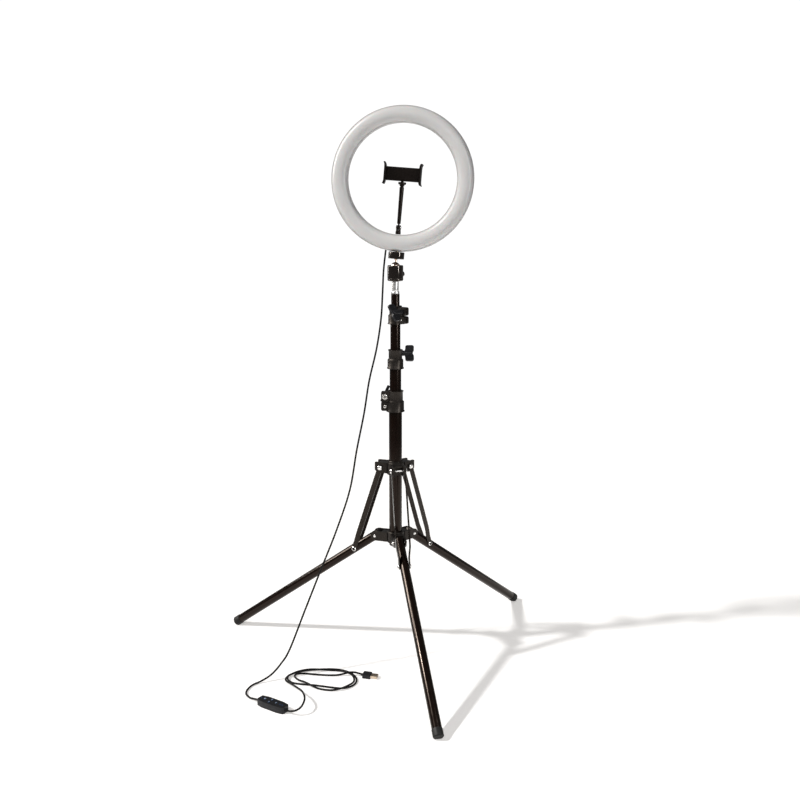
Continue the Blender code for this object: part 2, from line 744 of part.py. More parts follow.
def cord_gland():
    """A short tapered sleeve about -Z behind the lamp, which the cord leaves straight out of."""
    start = -RING_HALF_DEPTH - GAP
    profile = [(0, start), (5.0, start), (5.0, start - 1.6), (3.4, start - 2.2)]
    profile += [(2.6, start - 9.0), (0, start - 9.0)]
    return lathe(profile, SMALL_SIDES, closed=False)


# ---------------------------------------------------------------- phone holder


def arm_knuckle():
    low, high = KNUCKLE
    body = lathe([(0, low), (4.9, low), (4.9, high - 0.6), (4.3, high), (0, high)], 16, closed=False)
    return cut(body, box((-1.6, -10, 64.5), (1.6, 10, high + 5)))


def holder_arm():
    """A tongue in the knuckle's fork, the round arm and a thin neck, about Z from the hinge."""
    profile = [(0, ARM_BOTTOM), (3.1, ARM_BOTTOM), (3.7, ARM_BOTTOM + 0.8), (3.7, ARM_TOP - 1.0)]
    profile += [(3.2, ARM_TOP), (2.6, ARM_TOP + 0.2), (2.6, NECK_TOP), (0, NECK_TOP)]
    body = lathe(profile, SMALL_SIDES, closed=False)
    outline = [(-2.8, ARM_BOTTOM + 3.0), *arc((0, ARM_HINGE), 4.0, 180, 360, 8), (2.8, ARM_BOTTOM + 3.0)]
    tongue = upright(prism(outline, -1.3, 1.3))
    join(body, moved(tongue, Matrix.Rotation(math.radians(90), 4, "Z")))
    return moved(body, Matrix.Translation(vec(0, 0, -ARM_HINGE)))


def clip_swivel(base):
    """A flared nut over the arm's neck, with a round seat for the clip's ball on top."""
    low, high = SWIVEL
    seat = arc((0, high), 3.5, 0, -90, 3)
    profile = [(0, NECK_TOP + GAP), (2.9, NECK_TOP + GAP), (2.9, low), (4.6, low), (5.4, low + 2.0)]
    profile += [(7.4, high - 2.6), (8.0, high - 1.6), (8.0, high - 0.4), (7.6, high)]
    profile += [*seat[:-1], (0, high - 3.5)]
    body = lathe(profile, 16, closed=False)
    return moved(body, Matrix.Translation(vec(0, 0, -base)))


def jaw_outline(side, x):
    """A thin upright bar, bowed outwards at both tips."""
    half = JAW_HALF_HEIGHT
    spine = [(0.0, -half * 0.6), (0.4, -half * 0.8), (2.0, -half)]
    spine = [(bow, -z) for bow, z in spine] + [(bow, z) for bow, z in spine[::-1]]
    spine = sorted(set(spine), key=lambda point: point[1])
    near = [(x + side * bow, z) for bow, z in spine]
    far = [(x + side * (bow + 2.0), z) for bow, z in spine]
    return near + far[::-1]


def lipped_jaw(side, x, centre, back):
    """A jaw with a small lip on its front edge that keeps the phone in."""
    outline = [(px, pz + centre) for px, pz in jaw_outline(side, x)]
    plate = upright(prism(outline, -back, 19.0))
    lip = [(px - side * 1.4, pz) for px, pz in outline]
    return join(plate, upright(prism(lip, 17.0, 18.98)))


def clip_body(base):
    """The hollow clip with its fixed jaw, a pocket for the sliding jaw and the ball it turns on."""
    width, depth, height = CLIP_SIZE
    half = width / 2
    centre = CLIP_BOTTOM + height / 2
    outline = rounded((-half, CLIP_BOTTOM), (half, CLIP_BOTTOM + height), 1.2, 2)
    body = upright(prism(outline, -depth / 2, depth / 2))
    join(body, lipped_jaw(-1, -half + 0.6, centre, depth / 2 - 1.0))
    seat = arc((0, SWIVEL[1]), 3.0, -90, 40, 4)[1:]
    profile = [(0, SWIVEL[1] - 3.0), *seat, (1.9, CLIP_BOTTOM + 1.5), (0, CLIP_BOTTOM + 1.5)]
    join(body, lathe(profile, SMALL_SIDES, closed=False))
    cut(body, box((-8.0, -1.8, centre - 8.0), (half + 10, 3.0, centre + 8.0)))
    return moved(body, Matrix.Translation(vec(0, 0, -base)))


def clip_jaw(base):
    """The sliding jaw and the tongue that guides it in the clip's pocket."""
    width, depth, height = CLIP_SIZE
    half = width / 2
    centre = CLIP_BOTTOM + height / 2
    jaw = lipped_jaw(1, half + 0.8, centre, depth / 2 - 1.0)
    join(jaw, box((-6.0, -1.5, centre - 7.6), (half + 1.6, 2.7, centre + 7.6)))
    return moved(jaw, Matrix.Translation(vec(0, 0, -base)))


# ---------------------------------------------------------------- dimmer and plug


def dimmer_outline(inset=0.0):
    """Rounded, with slightly tapered ends."""
    half = DIMMER_SIZE[0] / 2 - inset
    wide = DIMMER_SIZE[1] / 2 - inset
    right = [(half - 12, -wide), (half - 2.5, -wide + 2.2), (half, -wide + 5.0)]
    right += [(x, -y) for x, y in right[::-1]]
    return right + [(-x, -y) for x, y in right]


def dimmer_base():
    shell = prism(dimmer_outline(), 0.0, DIMMER_SPLIT)
    return cut(shell, prism(dimmer_outline(1.8), 1.6, DIMMER_SPLIT + 5))


def dimmer_cover():
    low = DIMMER_SPLIT + GAP
    shell = prism(dimmer_outline(), low, DIMMER_TOP)
    cut(shell, prism(dimmer_outline(1.8), low - 5, DIMMER_TOP - 1.6))
    for x, y in BUTTONS.values():
        cut(shell, moved(rod(BUTTON_RADIUS + GAP, DIMMER_TOP - 5, DIMMER_TOP + 5, SMALL_SIDES), at(x, y, 0)))
    return shell


def plug_body():
    outline = rounded((0, -PLUG_HALF_WIDTH), (PLUG_LENGTH, PLUG_HALF_WIDTH), 1.4, 2)
    return prism(outline, 0.0, PLUG_HEIGHT)


def plug_shell():
    """The metal shell, open over the upper half of its mouth."""
    width, length, height = USB_SHELL
    wall = 0.6
    start = PLUG_LENGTH + GAP
    middle = PLUG_HEIGHT / 2
    body = box((start, -width / 2, middle - height / 2), (start + length, width / 2, middle + height / 2))
    mouth_top = middle + height / 2 - wall
    mouth = box((start + 2.7, wall - width / 2, middle), (start + length + 5, width / 2 - wall, mouth_top))
    return cut(body, mouth)


def coil_ring():
    ring = prism(ellipse(COIL_OUTER, 24), 0.2, COIL_TOP)
    return cut(ring, prism(ellipse(COIL_INNER, 24), -5, COIL_TOP + 5))


# ---------------------------------------------------------------- assembly


def make_looks():
    return {
        "paint": material("black_paint", (0.012, 0.010, 0.010), 0.28, 0.2),
        "plastic": material("dark_grey_plastic", (0.035, 0.034, 0.035), 0.45),
        "knob": material("black_knob_plastic", (0.018, 0.018, 0.019), 0.42),
        "rubber": material("black_rubber", (0.02, 0.02, 0.02), 0.7),
        "chrome": material("chrome", (0.80, 0.79, 0.77), 0.14, 1.0),
        "anodised": material("black_anodised", (0.014, 0.013, 0.013), 0.2, 0.5),
        "shell": material("white_shell", (0.62, 0.61, 0.61), 0.4),
        "diffuser": material("frosted_diffuser", (0.64, 0.63, 0.65), 0.35),
        "board": material("led_board", (0.75, 0.73, 0.62), 0.5),
        "brass": material("brass", (0.72, 0.55, 0.28), 0.3, 1.0),
        "clip": material("clip_plastic", (0.012, 0.010, 0.011), 0.3),
        "cord": material("cord_pvc", (0.012, 0.012, 0.013), 0.45),
        "buttons": material("button_plastic", (0.03, 0.06, 0.12), 0.4),
        "plug_metal": material("plug_metal", (0.70, 0.62, 0.52), 0.25, 1.0),
    }


def stand_parts(looks, stand):
    tube("outer_tube", OUTER_TUBE, looks["paint"], stand)
    place(lower_spider(), "lower_spider", looks["plastic"], stand)
    slider_base = STRUT_HINGE_Z
    slider = frame("spider_slide", stand, at(0, 0, slider_base))
    place(upper_spider(slider_base), "upper_spider", looks["plastic"], slider)
    legs_and_struts(looks, stand, slider, slider_base)

    second_base = MIDDLE_COLLAR[0]
    third_base = UPPER_COLLAR[0]
    top_base = TOP_TUBE[2]
    collar("lower_collar", LOWER_COLLAR, (OUTER_TUBE[0], SECOND_TUBE[0]), 90, looks, stand)
    second = frame("second_slide", stand, at(0, 0, second_base))
    tube("second_tube", SECOND_TUBE, looks["paint"], second, second_base)
    collar("middle_collar", MIDDLE_COLLAR, (SECOND_TUBE[0], THIRD_TUBE[0]), 90, looks, second, second_base)
    third = frame("third_slide", second, at(0, 0, third_base - second_base))
    tube("third_tube", THIRD_TUBE, looks["paint"], third, third_base)
    collar("upper_collar", UPPER_COLLAR, (THIRD_TUBE[0], TOP_TUBE[0]), 35, looks, third, third_base)
    top = frame("top_slide", third, at(0, 0, top_base - third_base))
    tube("top_tube", TOP_TUBE, looks["paint"], top, top_base)
    post = moved(spigot(), Matrix.Translation(vec(0, 0, -top_base)))
    place(post, "spigot", looks["chrome"], top)
    return top, top_base


def head_parts(looks, top, top_base):
    pan_base = HOUSING[0]
    pan = frame("ball_pan", top, at(0, 0, pan_base - top_base))
    place(ball_housing(pan_base), "ball_housing", looks["anodised"], pan)
    turn = Matrix.Rotation(math.radians(LOCK_AZIMUTH - 90), 4, "Z")
    lock = frame("lock_axis", pan, Matrix.Translation(vec(0, 0, 746.4 - pan_base)) @ turn)
    place(along_y(lock_knob()), "ball_lock_knob", looks["anodised"], lock)

    roll = Matrix.Rotation(math.radians(HEAD_ROLL), 4, "Y")
    lean = roll @ Matrix.Rotation(math.radians(HEAD_PITCH), 4, "X")
    nod = frame("ball_nod", pan, Matrix.Translation(vec(0, 0, BALL_Z - pan_base)) @ lean)
    place(ball_stem(), "ball_stem", looks["chrome"], nod)
    spin = frame("head_spin", nod, Matrix.Rotation(math.radians(HEAD_YAW), 4, "Z"))
    place(platform_disc(), "platform_disc", looks["anodised"], spin)
    place(ring_socket(), "ring_socket", looks["brass"], spin)

    face = Matrix.Rotation(math.radians(90), 4, "X")
    ring = frame("ring_axis", spin, Matrix.Translation(vec(0, RING_BACK, RING_HEIGHT)) @ face)
    place(ring_back_shell(), "ring_back_shell", looks["shell"], ring)
    place(ring_led_board(), "ring_led_board", looks["board"], ring)
    place(ring_diffuser(), "ring_diffuser", looks["diffuser"], ring)
    gland_at = Matrix.Translation(vec(*GLAND_AT, 0))
    place(moved(cord_gland(), gland_at), "cord_gland", looks["rubber"], ring)
    return spin


def holder_parts(looks, spin):
    upright_line = frame("holder_line", spin, at(0, HOLDER_Y, 0))
    place(arm_knuckle(), "arm_knuckle", looks["clip"], upright_line)
    tilt = frame("arm_tilt", upright_line, at(0, 0, ARM_HINGE))
    place(holder_arm(), "holder_arm", looks["clip"], tilt)
    turn_base = SWIVEL[1]
    turn = frame("clip_turn", tilt, at(0, 0, turn_base - ARM_HINGE))
    place(clip_swivel(turn_base), "clip_swivel", looks["clip"], turn)
    nod = frame("clip_nod", turn)
    place(clip_body(turn_base), "clip_body", looks["clip"], nod)
    jaw = frame("jaw_slide", nod)
    place(clip_jaw(turn_base), "clip_jaw", looks["clip"], jaw)


def cord_parts(looks, stand):
    cord("cord_upper", UPPER_ROUTE, looks["cord"], stand)
    cord("cord_lower", LOWER_ROUTE, looks["cord"], stand)
    cord("cord_tail", TAIL_ROUTE, looks["cord"], stand)
    coil = frame("coil_place", stand, at(*COIL_AT, 0))
    place(coil_ring(), "cord_coil", looks["cord"], coil)

    dimmer = frame("dimmer_place", stand, at(*DIMMER_AT, 0, DIMMER_TURN))
    place(dimmer_base(), "dimmer_base", looks["knob"], dimmer)
    place(dimmer_cover(), "dimmer_cover", looks["knob"], dimmer)
    for name, (x, y) in BUTTONS.items():
        press = frame(f"press_{name}", dimmer, at(x, y, DIMMER_TOP))
        place(rod(BUTTON_RADIUS, -3.2, 0.9, SMALL_SIDES), f"button_{name}", looks["buttons"], press)

    plug = frame("plug_place", stand, at(*PLUG_AT, 0, PLUG_TURN))
    place(plug_body(), "usb_plug", looks["knob"], plug)
    place(plug_shell(), "usb_shell", looks["plug_metal"], plug)


def main():
    clear_scene()
    looks = make_looks()
    stand = frame("stand", None, at(COLUMN_X, COLUMN_Y, 0))
    top, top_base = stand_parts(looks, stand)
    spin = head_parts(looks, top, top_base)
    holder_parts(looks, spin)
    cord_parts(looks, stand)


main()
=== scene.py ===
"""The looks of a ring light on a tripod stand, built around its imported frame.

Shapes are made in millimetres and about their own axis, and show() puts them in their place in metres.
"""

import json
import math

import bmesh
import bpy
from mathutils import Matrix, Vector


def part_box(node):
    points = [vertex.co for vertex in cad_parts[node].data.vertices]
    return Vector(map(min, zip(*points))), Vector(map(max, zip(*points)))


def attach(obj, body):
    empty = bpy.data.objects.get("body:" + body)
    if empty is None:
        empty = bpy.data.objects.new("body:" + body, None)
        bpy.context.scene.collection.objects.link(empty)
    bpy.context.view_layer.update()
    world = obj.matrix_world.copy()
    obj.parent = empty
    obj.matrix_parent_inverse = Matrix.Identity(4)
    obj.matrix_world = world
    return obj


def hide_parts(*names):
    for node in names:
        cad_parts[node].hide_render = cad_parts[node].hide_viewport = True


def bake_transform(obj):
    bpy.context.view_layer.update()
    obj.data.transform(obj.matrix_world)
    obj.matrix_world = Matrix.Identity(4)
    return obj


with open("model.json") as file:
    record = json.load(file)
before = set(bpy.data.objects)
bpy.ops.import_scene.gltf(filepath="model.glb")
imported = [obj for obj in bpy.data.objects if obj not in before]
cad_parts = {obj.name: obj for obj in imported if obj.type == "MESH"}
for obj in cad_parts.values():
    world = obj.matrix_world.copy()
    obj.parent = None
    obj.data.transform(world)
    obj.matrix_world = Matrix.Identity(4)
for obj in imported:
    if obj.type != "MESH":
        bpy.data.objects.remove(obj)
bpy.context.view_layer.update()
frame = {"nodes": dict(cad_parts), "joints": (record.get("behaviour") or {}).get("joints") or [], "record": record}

MM = 0.001
GAP = 0.3
JOINTS = {joint["name"]: joint for joint in frame["joints"]}
BODY_OF = {node: body for body, nodes in frame["record"]["behaviour"]["bodies"].items() for node in nodes}

# Column
TUBE_WALL = 1.2
TUBES = {
    "outer_tube": (12.5, 218.0, 504.7),
    "second_tube": (11.0, 302.0, 585.8),
    "third_tube": (9.5, 380.0, 669.8),
    "top_tube": (8.0, 409.0, 710.5),
}
TUBE_SIDES = 72
EAR_HALF_WIDTH = 6.2
BOLT_RADIUS = 2.0
COLLARS = {"lower": (40.0, 65), "middle": (36.0, 128), "upper": (34.0, 58)}  # height, turn of the wings

# Legs
LEG_NAMES = ("front", "right", "left")
LEG_SLOPE = 35.8
LEG_RADIUS = 9.0
LEG_HEEL = 7.5
LEG_END = 386.5
FOOT = (377.0, 391.8)
FOOT_RADIUS = 9.6
PIN_RADIUS = 2.0
STRUT_LEAN = 18.1
STRUT_LENGTH = 181.3
STRUT_FACE = 10.3

# Ball head
BALL_Z = 760.0
BALL_RADIUS = 9.25
HOUSING_RADIUS = 14.8
HOUSING = (734.6, 763.4)
DISC_RADIUS = 14.9
DISC = (14.7, 26.5)

# Ring lamp
RING_HEIGHT = 160.5
RING_BACK = -5.0
RING_OUTER = 132.0
RING_INNER = 100.5
RING_HALF_DEPTH = 11.5
RING_SIDES = 192
RING_LIP = 4.6
GLAND_AT = (-23.0, -113.5)
BACK_SCREWS = 6

# Phone holder
HOLDER_Y = -1.0
KNUCKLE = (60.5, 77.0)
ARM_HINGE = 72.5
ARM_BOTTOM = 79.5
NECK_TOP = 149.0
SWIVEL = (147.6, 155.0)
CLIP_BOTTOM = 157.2
CLIP_SIZE = (63.5, 11.0, 24.5)

# Cord and what is on it
CORD_RADIUS = 1.75
CORD_FLOOR = 1.95
CORD_SIDES = 16
CORD_STEP = 3.0
DIMMER_SIZE = (61.5, 21.0)
DIMMER_SPLIT = 6.0
DIMMER_TOP = 12.0
BUTTON_RADIUS = 2.3
BUTTON_RISE = 0.9
POWER_X = -18.0
PLUG_LENGTH = 16.0
PLUG_HALF_WIDTH = 7.8
PLUG_HEIGHT = 8.0
SHELL_SIZE = (12.0, 12.5, 4.5)

# The stage, with lengths in metres
FLOOR_RADIUS = 1.7
AIM_HEIGHT = 0.45
SURROUND_SEEN = 1.05
SURROUND_LIT = 0.16

# The cord from the lamp to the dimmer, in millimetres from the column's foot
UPPER_ROUTE = [
    (-16.93, 21.35, 807.53), (-16.4, 25.6, 807.1), (-16.6, 30.6, 803.0), (-17.6, 31.6, 794.0),
    (-19.4, 30.0, 780.0), (-22.5, 26.0, 750.0), (-24.5, 22.0, 707.0), (-27.5, 17.5, 660.0),
    (-36.0, 9.0, 605.0), (-50.0, -1.0, 545.0), (-60.0, -10.0, 483.0), (-74.0, -21.0, 414.0),
    (-87.5, -31.5, 338.0), (-112.0, -52.0, 266.0), (-142.0, -76.0, 193.0), (-171.0, -99.0, 122.0),
    (-199.0, -121.0, 53.0), (-215.0, -132.0, 29.0), (-232.0, -141.0, 12.0), (-250.0, -151.0, 3.8),
    (-264.5, -163.0, CORD_FLOOR), (-271.0, -180.0, CORD_FLOOR), (-271.0, -196.0, CORD_FLOOR),
    (-262.0, -211.0, 2.6), (-250.5, -220.3, 4.8), (-243.4, -225.0, 5.0),
]

# The cord from the dimmer, twice round on the floor, to the plug
FLOOR_ROUTE = [
    (-189.6, -260.95, 5.0), (-182.5, -265.8, 6.4), (-173.0, -270.0, 10.0), (-164.0, -267.0, 15.0),
    (-159.7, -254.0, 19.0), (-160.5, -239.0, 20.0), (-167.0, -217.4, 18.5), (-178.2, -196.9, 15.0),
    (-191.5, -172.5, 9.5), (-203.0, -151.0, 4.0), (-205.5, -137.0, 2.2), (-199.5, -122.5),
    (-187.0, -112.5), (-170.0, -105.5), (-151.0, -101.5), (-131.0, -99.5), (-112.0, -101.0),
    (-96.0, -107.0), (-82.0, -119.0), (-73.0, -138.0), (-74.0, -156.0), (-84.0, -170.0),
    (-100.0, -175.0), (-117.0, -172.0), (-136.0, -167.0), (-155.0, -162.5), (-176.0, -159.0),
    (-192.0, -154.0), (-201.0, -144.0), (-201.5, -132.0), (-193.0, -120.0), (-179.0, -111.0),
    (-160.0, -105.5), (-131.0, -104.0), (-108.0, -106.5), (-92.0, -114.0), (-81.0, -127.0),
    (-77.0, -145.0), (-81.0, -163.0), (-95.0, -178.0), (-114.0, -182.5), (-133.0, -179.5),
    (-153.0, -170.0), (-171.0, -155.0), (-184.0, -140.0), (-190.0, -128.0), (-186.0, -119.0),
    (-173.0, -117.5), (-153.0, -121.0), (-130.0, -124.0), (-106.0, -124.0), (-87.0, -121.5, 3.0),
    (-76.0, -122.2, 4.0), (-68.5, -124.1, 4.0), (-61.3, -125.9, 4.0),
]

# Where the hanging cord passes from one body to the next, by height
CORD_CHAIN = [
    ("ring", "head_ball", 768.0),
    ("head_ball", "head_housing", 722.0),
    ("head_housing", "top_stage", 668.0),
    ("top_stage", "third_stage", 545.0),
    ("third_stage", "second_stage", 400.0),
    ("second_stage", "base", 130.0),
]


# ---------------------------------------------------------------- places


def spot(joint):
    return Vector(JOINTS[joint]["pos_m"])


def axis_of(joint):
    return Vector(JOINTS[joint]["axis"]).normalized()


def centre(node):
    low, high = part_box(node)
    return (low + high) / 2


def at(x, y, z, turn=0.0):
    return Matrix.Translation(Vector((x, y, z)) * MM) @ Matrix.Rotation(math.radians(turn), 4, "Z")


def turned(angle, axis):
    return Matrix.Rotation(math.radians(angle), 4, axis)


def basis(x_axis, z_axis, origin):
    """A place whose X and Z run along the given directions."""
    z_axis = z_axis.normalized()
    y_axis = z_axis.cross(x_axis).normalized()
    made = Matrix((y_axis.cross(z_axis), y_axis, z_axis)).transposed().to_4x4()
    made.translation = origin
    return made


def pin_place(joint):
    """A hinge's place beside the column, with X pointing away from the column and Y along the pin."""
    outward = spot(joint) - COLUMN.translation
    outward.z = 0.0
    return basis(outward.normalized(), Vector((0, 0, 1)), spot(joint))


foot = spot("head_pan")
COLUMN = Matrix.Translation(Vector((foot.x, foot.y, 0.0)))
HEAD = basis(axis_of("arm_tilt"), axis_of("head_spin"), spot("head_nod"))
RING = HEAD @ at(0, RING_BACK, RING_HEIGHT) @ turned(90, "X")
HOLDER = HEAD @ at(0, HOLDER_Y, 0)


# ---------------------------------------------------------------- camera, light and floor


def make_camera():
    """Straight ahead of the stand, a little above the lamp's foot, and tilted down."""
    data = bpy.data.cameras.new("camera")
    data.lens = 43.85
    data.sensor_width = 36.0
    camera = bpy.data.objects.new("camera", data)
    bpy.context.scene.collection.objects.link(camera)
    camera.location = COLUMN @ Vector((0.0087, -1.8282, 0.8743))
    camera.rotation_euler = (math.radians(78.658), 0.0, 0.0)
    bpy.context.scene.camera = camera


def softbox(name, place, target, size, power, colour=(1.0, 1.0, 1.0), lights_all=False):
    """A studio softbox; unless it lights all, it only gives glossy surfaces something to reflect."""
    data = bpy.data.lights.new(name, "AREA")
    data.shape = "RECTANGLE"
    data.size, data.size_y = size
    data.energy = power
    data.color = colour
    light = bpy.data.objects.new(name, data)
    bpy.context.scene.collection.objects.link(light)
    light.location = place
    light.rotation_mode = "QUATERNION"
    light.rotation_quaternion = (Vector(target) - Vector(place)).to_track_quat("-Z", "Y")
    light.visible_diffuse = lights_all


def make_stage():
    """A white floor disc and surround, a sun high on the left, a fill in front and three boxes for gloss.

    The surround is bright to the camera and dim to everything else, so that glossy pieces stay dark.
    """
    bm = bmesh.new()
    bmesh.ops.create_circle(bm, cap_ends=True, segments=96, radius=FLOOR_RADIUS)
    mesh = bpy.data.meshes.new("floor")
    bm.to_mesh(mesh)
    bm.free()
    floor = bpy.data.objects.new("floor", mesh)
    bpy.context.scene.collection.objects.link(floor)
    look = bpy.data.materials.new("floor_white")
    look.use_nodes = True
    shader = look.node_tree.nodes["Principled BSDF"]
    shader.inputs["Base Color"].default_value = (0.86, 0.86, 0.865, 1.0)
    shader.inputs["Roughness"].default_value = 0.9
    shader.inputs["Specular IOR Level"].default_value = 0.1
    shader.inputs["Emission Color"].default_value = (1.0, 0.965, 0.925, 1.0)
    shader.inputs["Emission Strength"].default_value = 0.42
    mesh.materials.append(look)

    world = bpy.data.worlds.new("surround")
    bpy.context.scene.world = world
    world.use_nodes = True
    tree = world.node_tree
    tree.nodes.clear()
    seen = tree.nodes.new("ShaderNodeBackground")
    seen.inputs["Color"].default_value = (1.0, 1.0, 1.0, 1.0)
    seen.inputs["Strength"].default_value = SURROUND_SEEN
    lit = tree.nodes.new("ShaderNodeBackground")
    lit.inputs["Color"].default_value = (1.0, 1.0, 1.0, 1.0)
    lit.inputs["Strength"].default_value = SURROUND_LIT
    path = tree.nodes.new("ShaderNodeLightPath")
    mix = tree.nodes.new("ShaderNodeMixShader")
    output = tree.nodes.new("ShaderNodeOutputWorld")
    tree.links.new(path.outputs["Is Camera Ray"], mix.inputs[0])
    tree.links.new(lit.outputs[0], mix.inputs[1])
    tree.links.new(seen.outputs[0], mix.inputs[2])
    tree.links.new(mix.outputs[0], output.inputs[0])

    aim = COLUMN @ Vector((0.0, 0.0, AIM_HEIGHT))
    key_data = bpy.data.lights.new("key", "SUN")
    key_data.energy = 2.6
    key_data.angle = math.radians(3.2)
    key_data.color = (1.0, 0.985, 0.96)
    key = bpy.data.objects.new("key", key_data)
    bpy.context.scene.collection.objects.link(key)
    key.rotation_mode = "QUATERNION"
    key.rotation_quaternion = Vector((0.99, 0.22, -1.0)).to_track_quat("-Z", "Y")
    softbox("right_strip", aim + Vector((1.33, -1.24, 0.85)), aim, (0.17, 1.4), 24.0, (0.97, 0.985, 1.0))
    softbox("left_bank", aim + Vector((-1.9, 0.20, 1.15)), aim, (0.45, 1.1), 56.0, (1.0, 0.97, 0.93))
    softbox("left_strip", aim + Vector((-1.50, 1.05, 0.44)), aim, (0.10, 0.6), 2.6, (1.0, 0.97, 0.93))
    softbox("fill", aim + Vector((0.3, -2.2, 1.6)), aim, (1.6, 1.0), 18.0, (0.985, 0.985, 1.0),
            lights_all=True)
    bpy.context.scene.view_settings.view_transform = "Standard"


# ---------------------------------------------------------------- materials


def add(tree, kind, settings=None, **inputs):
    """A shader node; an input is a number, a colour or another node's output."""
    made = tree.nodes.new("ShaderNode" + kind)
    for name, value in (settings or {}).items():
        setattr(made, name, value)
    for name, value in inputs.items():
        socket = made.inputs[name.replace("_", " ")]
        if isinstance(value, bpy.types.NodeSocket):
            tree.links.new(value, socket)
        else:
            socket.default_value = value
    return made


def noise(tree, vector, size, detail=3.0, stretch=None):
    """Noise with features of about size millimetres, drawn out along an axis by stretch."""
    if stretch:
        vector = add(tree, "Mapping", Vector=vector, Scale=stretch).outputs[0]
    return add(tree, "TexNoise", Vector=vector, Scale=1.0 / (size * MM), Detail=detail).outputs[0]


def spread(tree, value, low, high, start=0.3, end=0.7):
    made = add(tree, "MapRange", Value=value, From_Min=start, From_Max=end, To_Min=low, To_Max=high)
    return made.outputs[0]


def surface(name, colour, rough, metallic=0.0, specular=0.5, coat=0.0, subsurface=0.0, sheen=None,
            shade=0.12, patch=25.0, rough_spread=0.06, grain=0.6, depth=0.004,
            stretch=None, dust=0.0, wear=0.0, wear_colour=(0.2, 0.19, 0.18)):
    """A material whose colour, roughness and relief vary at the sizes given in millimetres.

    shade is how far the colour strays over patches, depth is the height of the grain, dust lightens
    small specks, wear shows the base in fine scuffs, and sheen tints the reflections.
    """
    made = bpy.data.materials.new(name)
    made.use_nodes = True
    tree = made.node_tree
    shader = tree.nodes["Principled BSDF"]
    shader.inputs["Metallic"].default_value = metallic
    shader.inputs["Specular IOR Level"].default_value = specular
    shader.inputs["Coat Weight"].default_value = coat
    shader.inputs["Coat Roughness"].default_value = 0.12
    if sheen:
        shader.inputs["Specular Tint"].default_value = (*sheen, 1.0)
    if subsurface:
        shader.inputs["Subsurface Weight"].default_value = subsurface
        shader.inputs["Subsurface Scale"].default_value = 0.002
    place = add(tree, "TexCoord").outputs["Object"]

    ramp = add(tree, "ValToRGB", Fac=noise(tree, place, patch, 4.0))
    dark, light = ramp.color_ramp.elements
    dark.position, light.position = 0.3, 0.7
    dark.color = (*[channel * (1 - shade) for channel in colour], 1.0)
    light.color = (*[min(1.0, channel * (1 + shade)) for channel in colour], 1.0)
    tint = ramp.outputs[0]
    if dust:
        specks = spread(tree, noise(tree, place, 1.3, 6.0), 0.0, dust, 0.60, 0.74)
        lighter = (*[min(1.0, channel + 0.10) for channel in colour], 1.0)
        tint = add(tree, "MixRGB", Fac=specks, Color1=tint, Color2=lighter).outputs[0]
    if wear:
        scuffs = noise(tree, place, 0.9, 5.0, (1.0, 1.0, 0.12))
        patches = spread(tree, noise(tree, place, 14.0, 2.0), 0.0, 1.0, 0.52, 0.66)
        shown = add(tree, "Math", {"operation": "MULTIPLY"}).outputs[0]
        tree.links.new(spread(tree, scuffs, 0.0, wear, 0.60, 0.68), shown.node.inputs[0])
        tree.links.new(patches, shown.node.inputs[1])
        tint = add(tree, "MixRGB", Fac=shown, Color1=tint, Color2=(*wear_colour, 1.0)).outputs[0]
    tree.links.new(tint, shader.inputs["Base Color"])

    fine = noise(tree, place, grain * 3.0, 5.0, stretch)
    rough_now = spread(tree, fine, max(0.02, rough - rough_spread), rough + rough_spread)
    tree.links.new(rough_now, shader.inputs["Roughness"])
    relief = noise(tree, place, grain, 3.0, stretch)
    bump = add(tree, "Bump", Strength=1.0, Distance=depth * MM, Height=relief)
    tree.links.new(bump.outputs[0], shader.inputs["Normal"])
    return made


# Tints for the reflections in the black pieces
WARM = (1.0, 0.86, 0.74)
BROWN = (1.0, 0.80, 0.67)


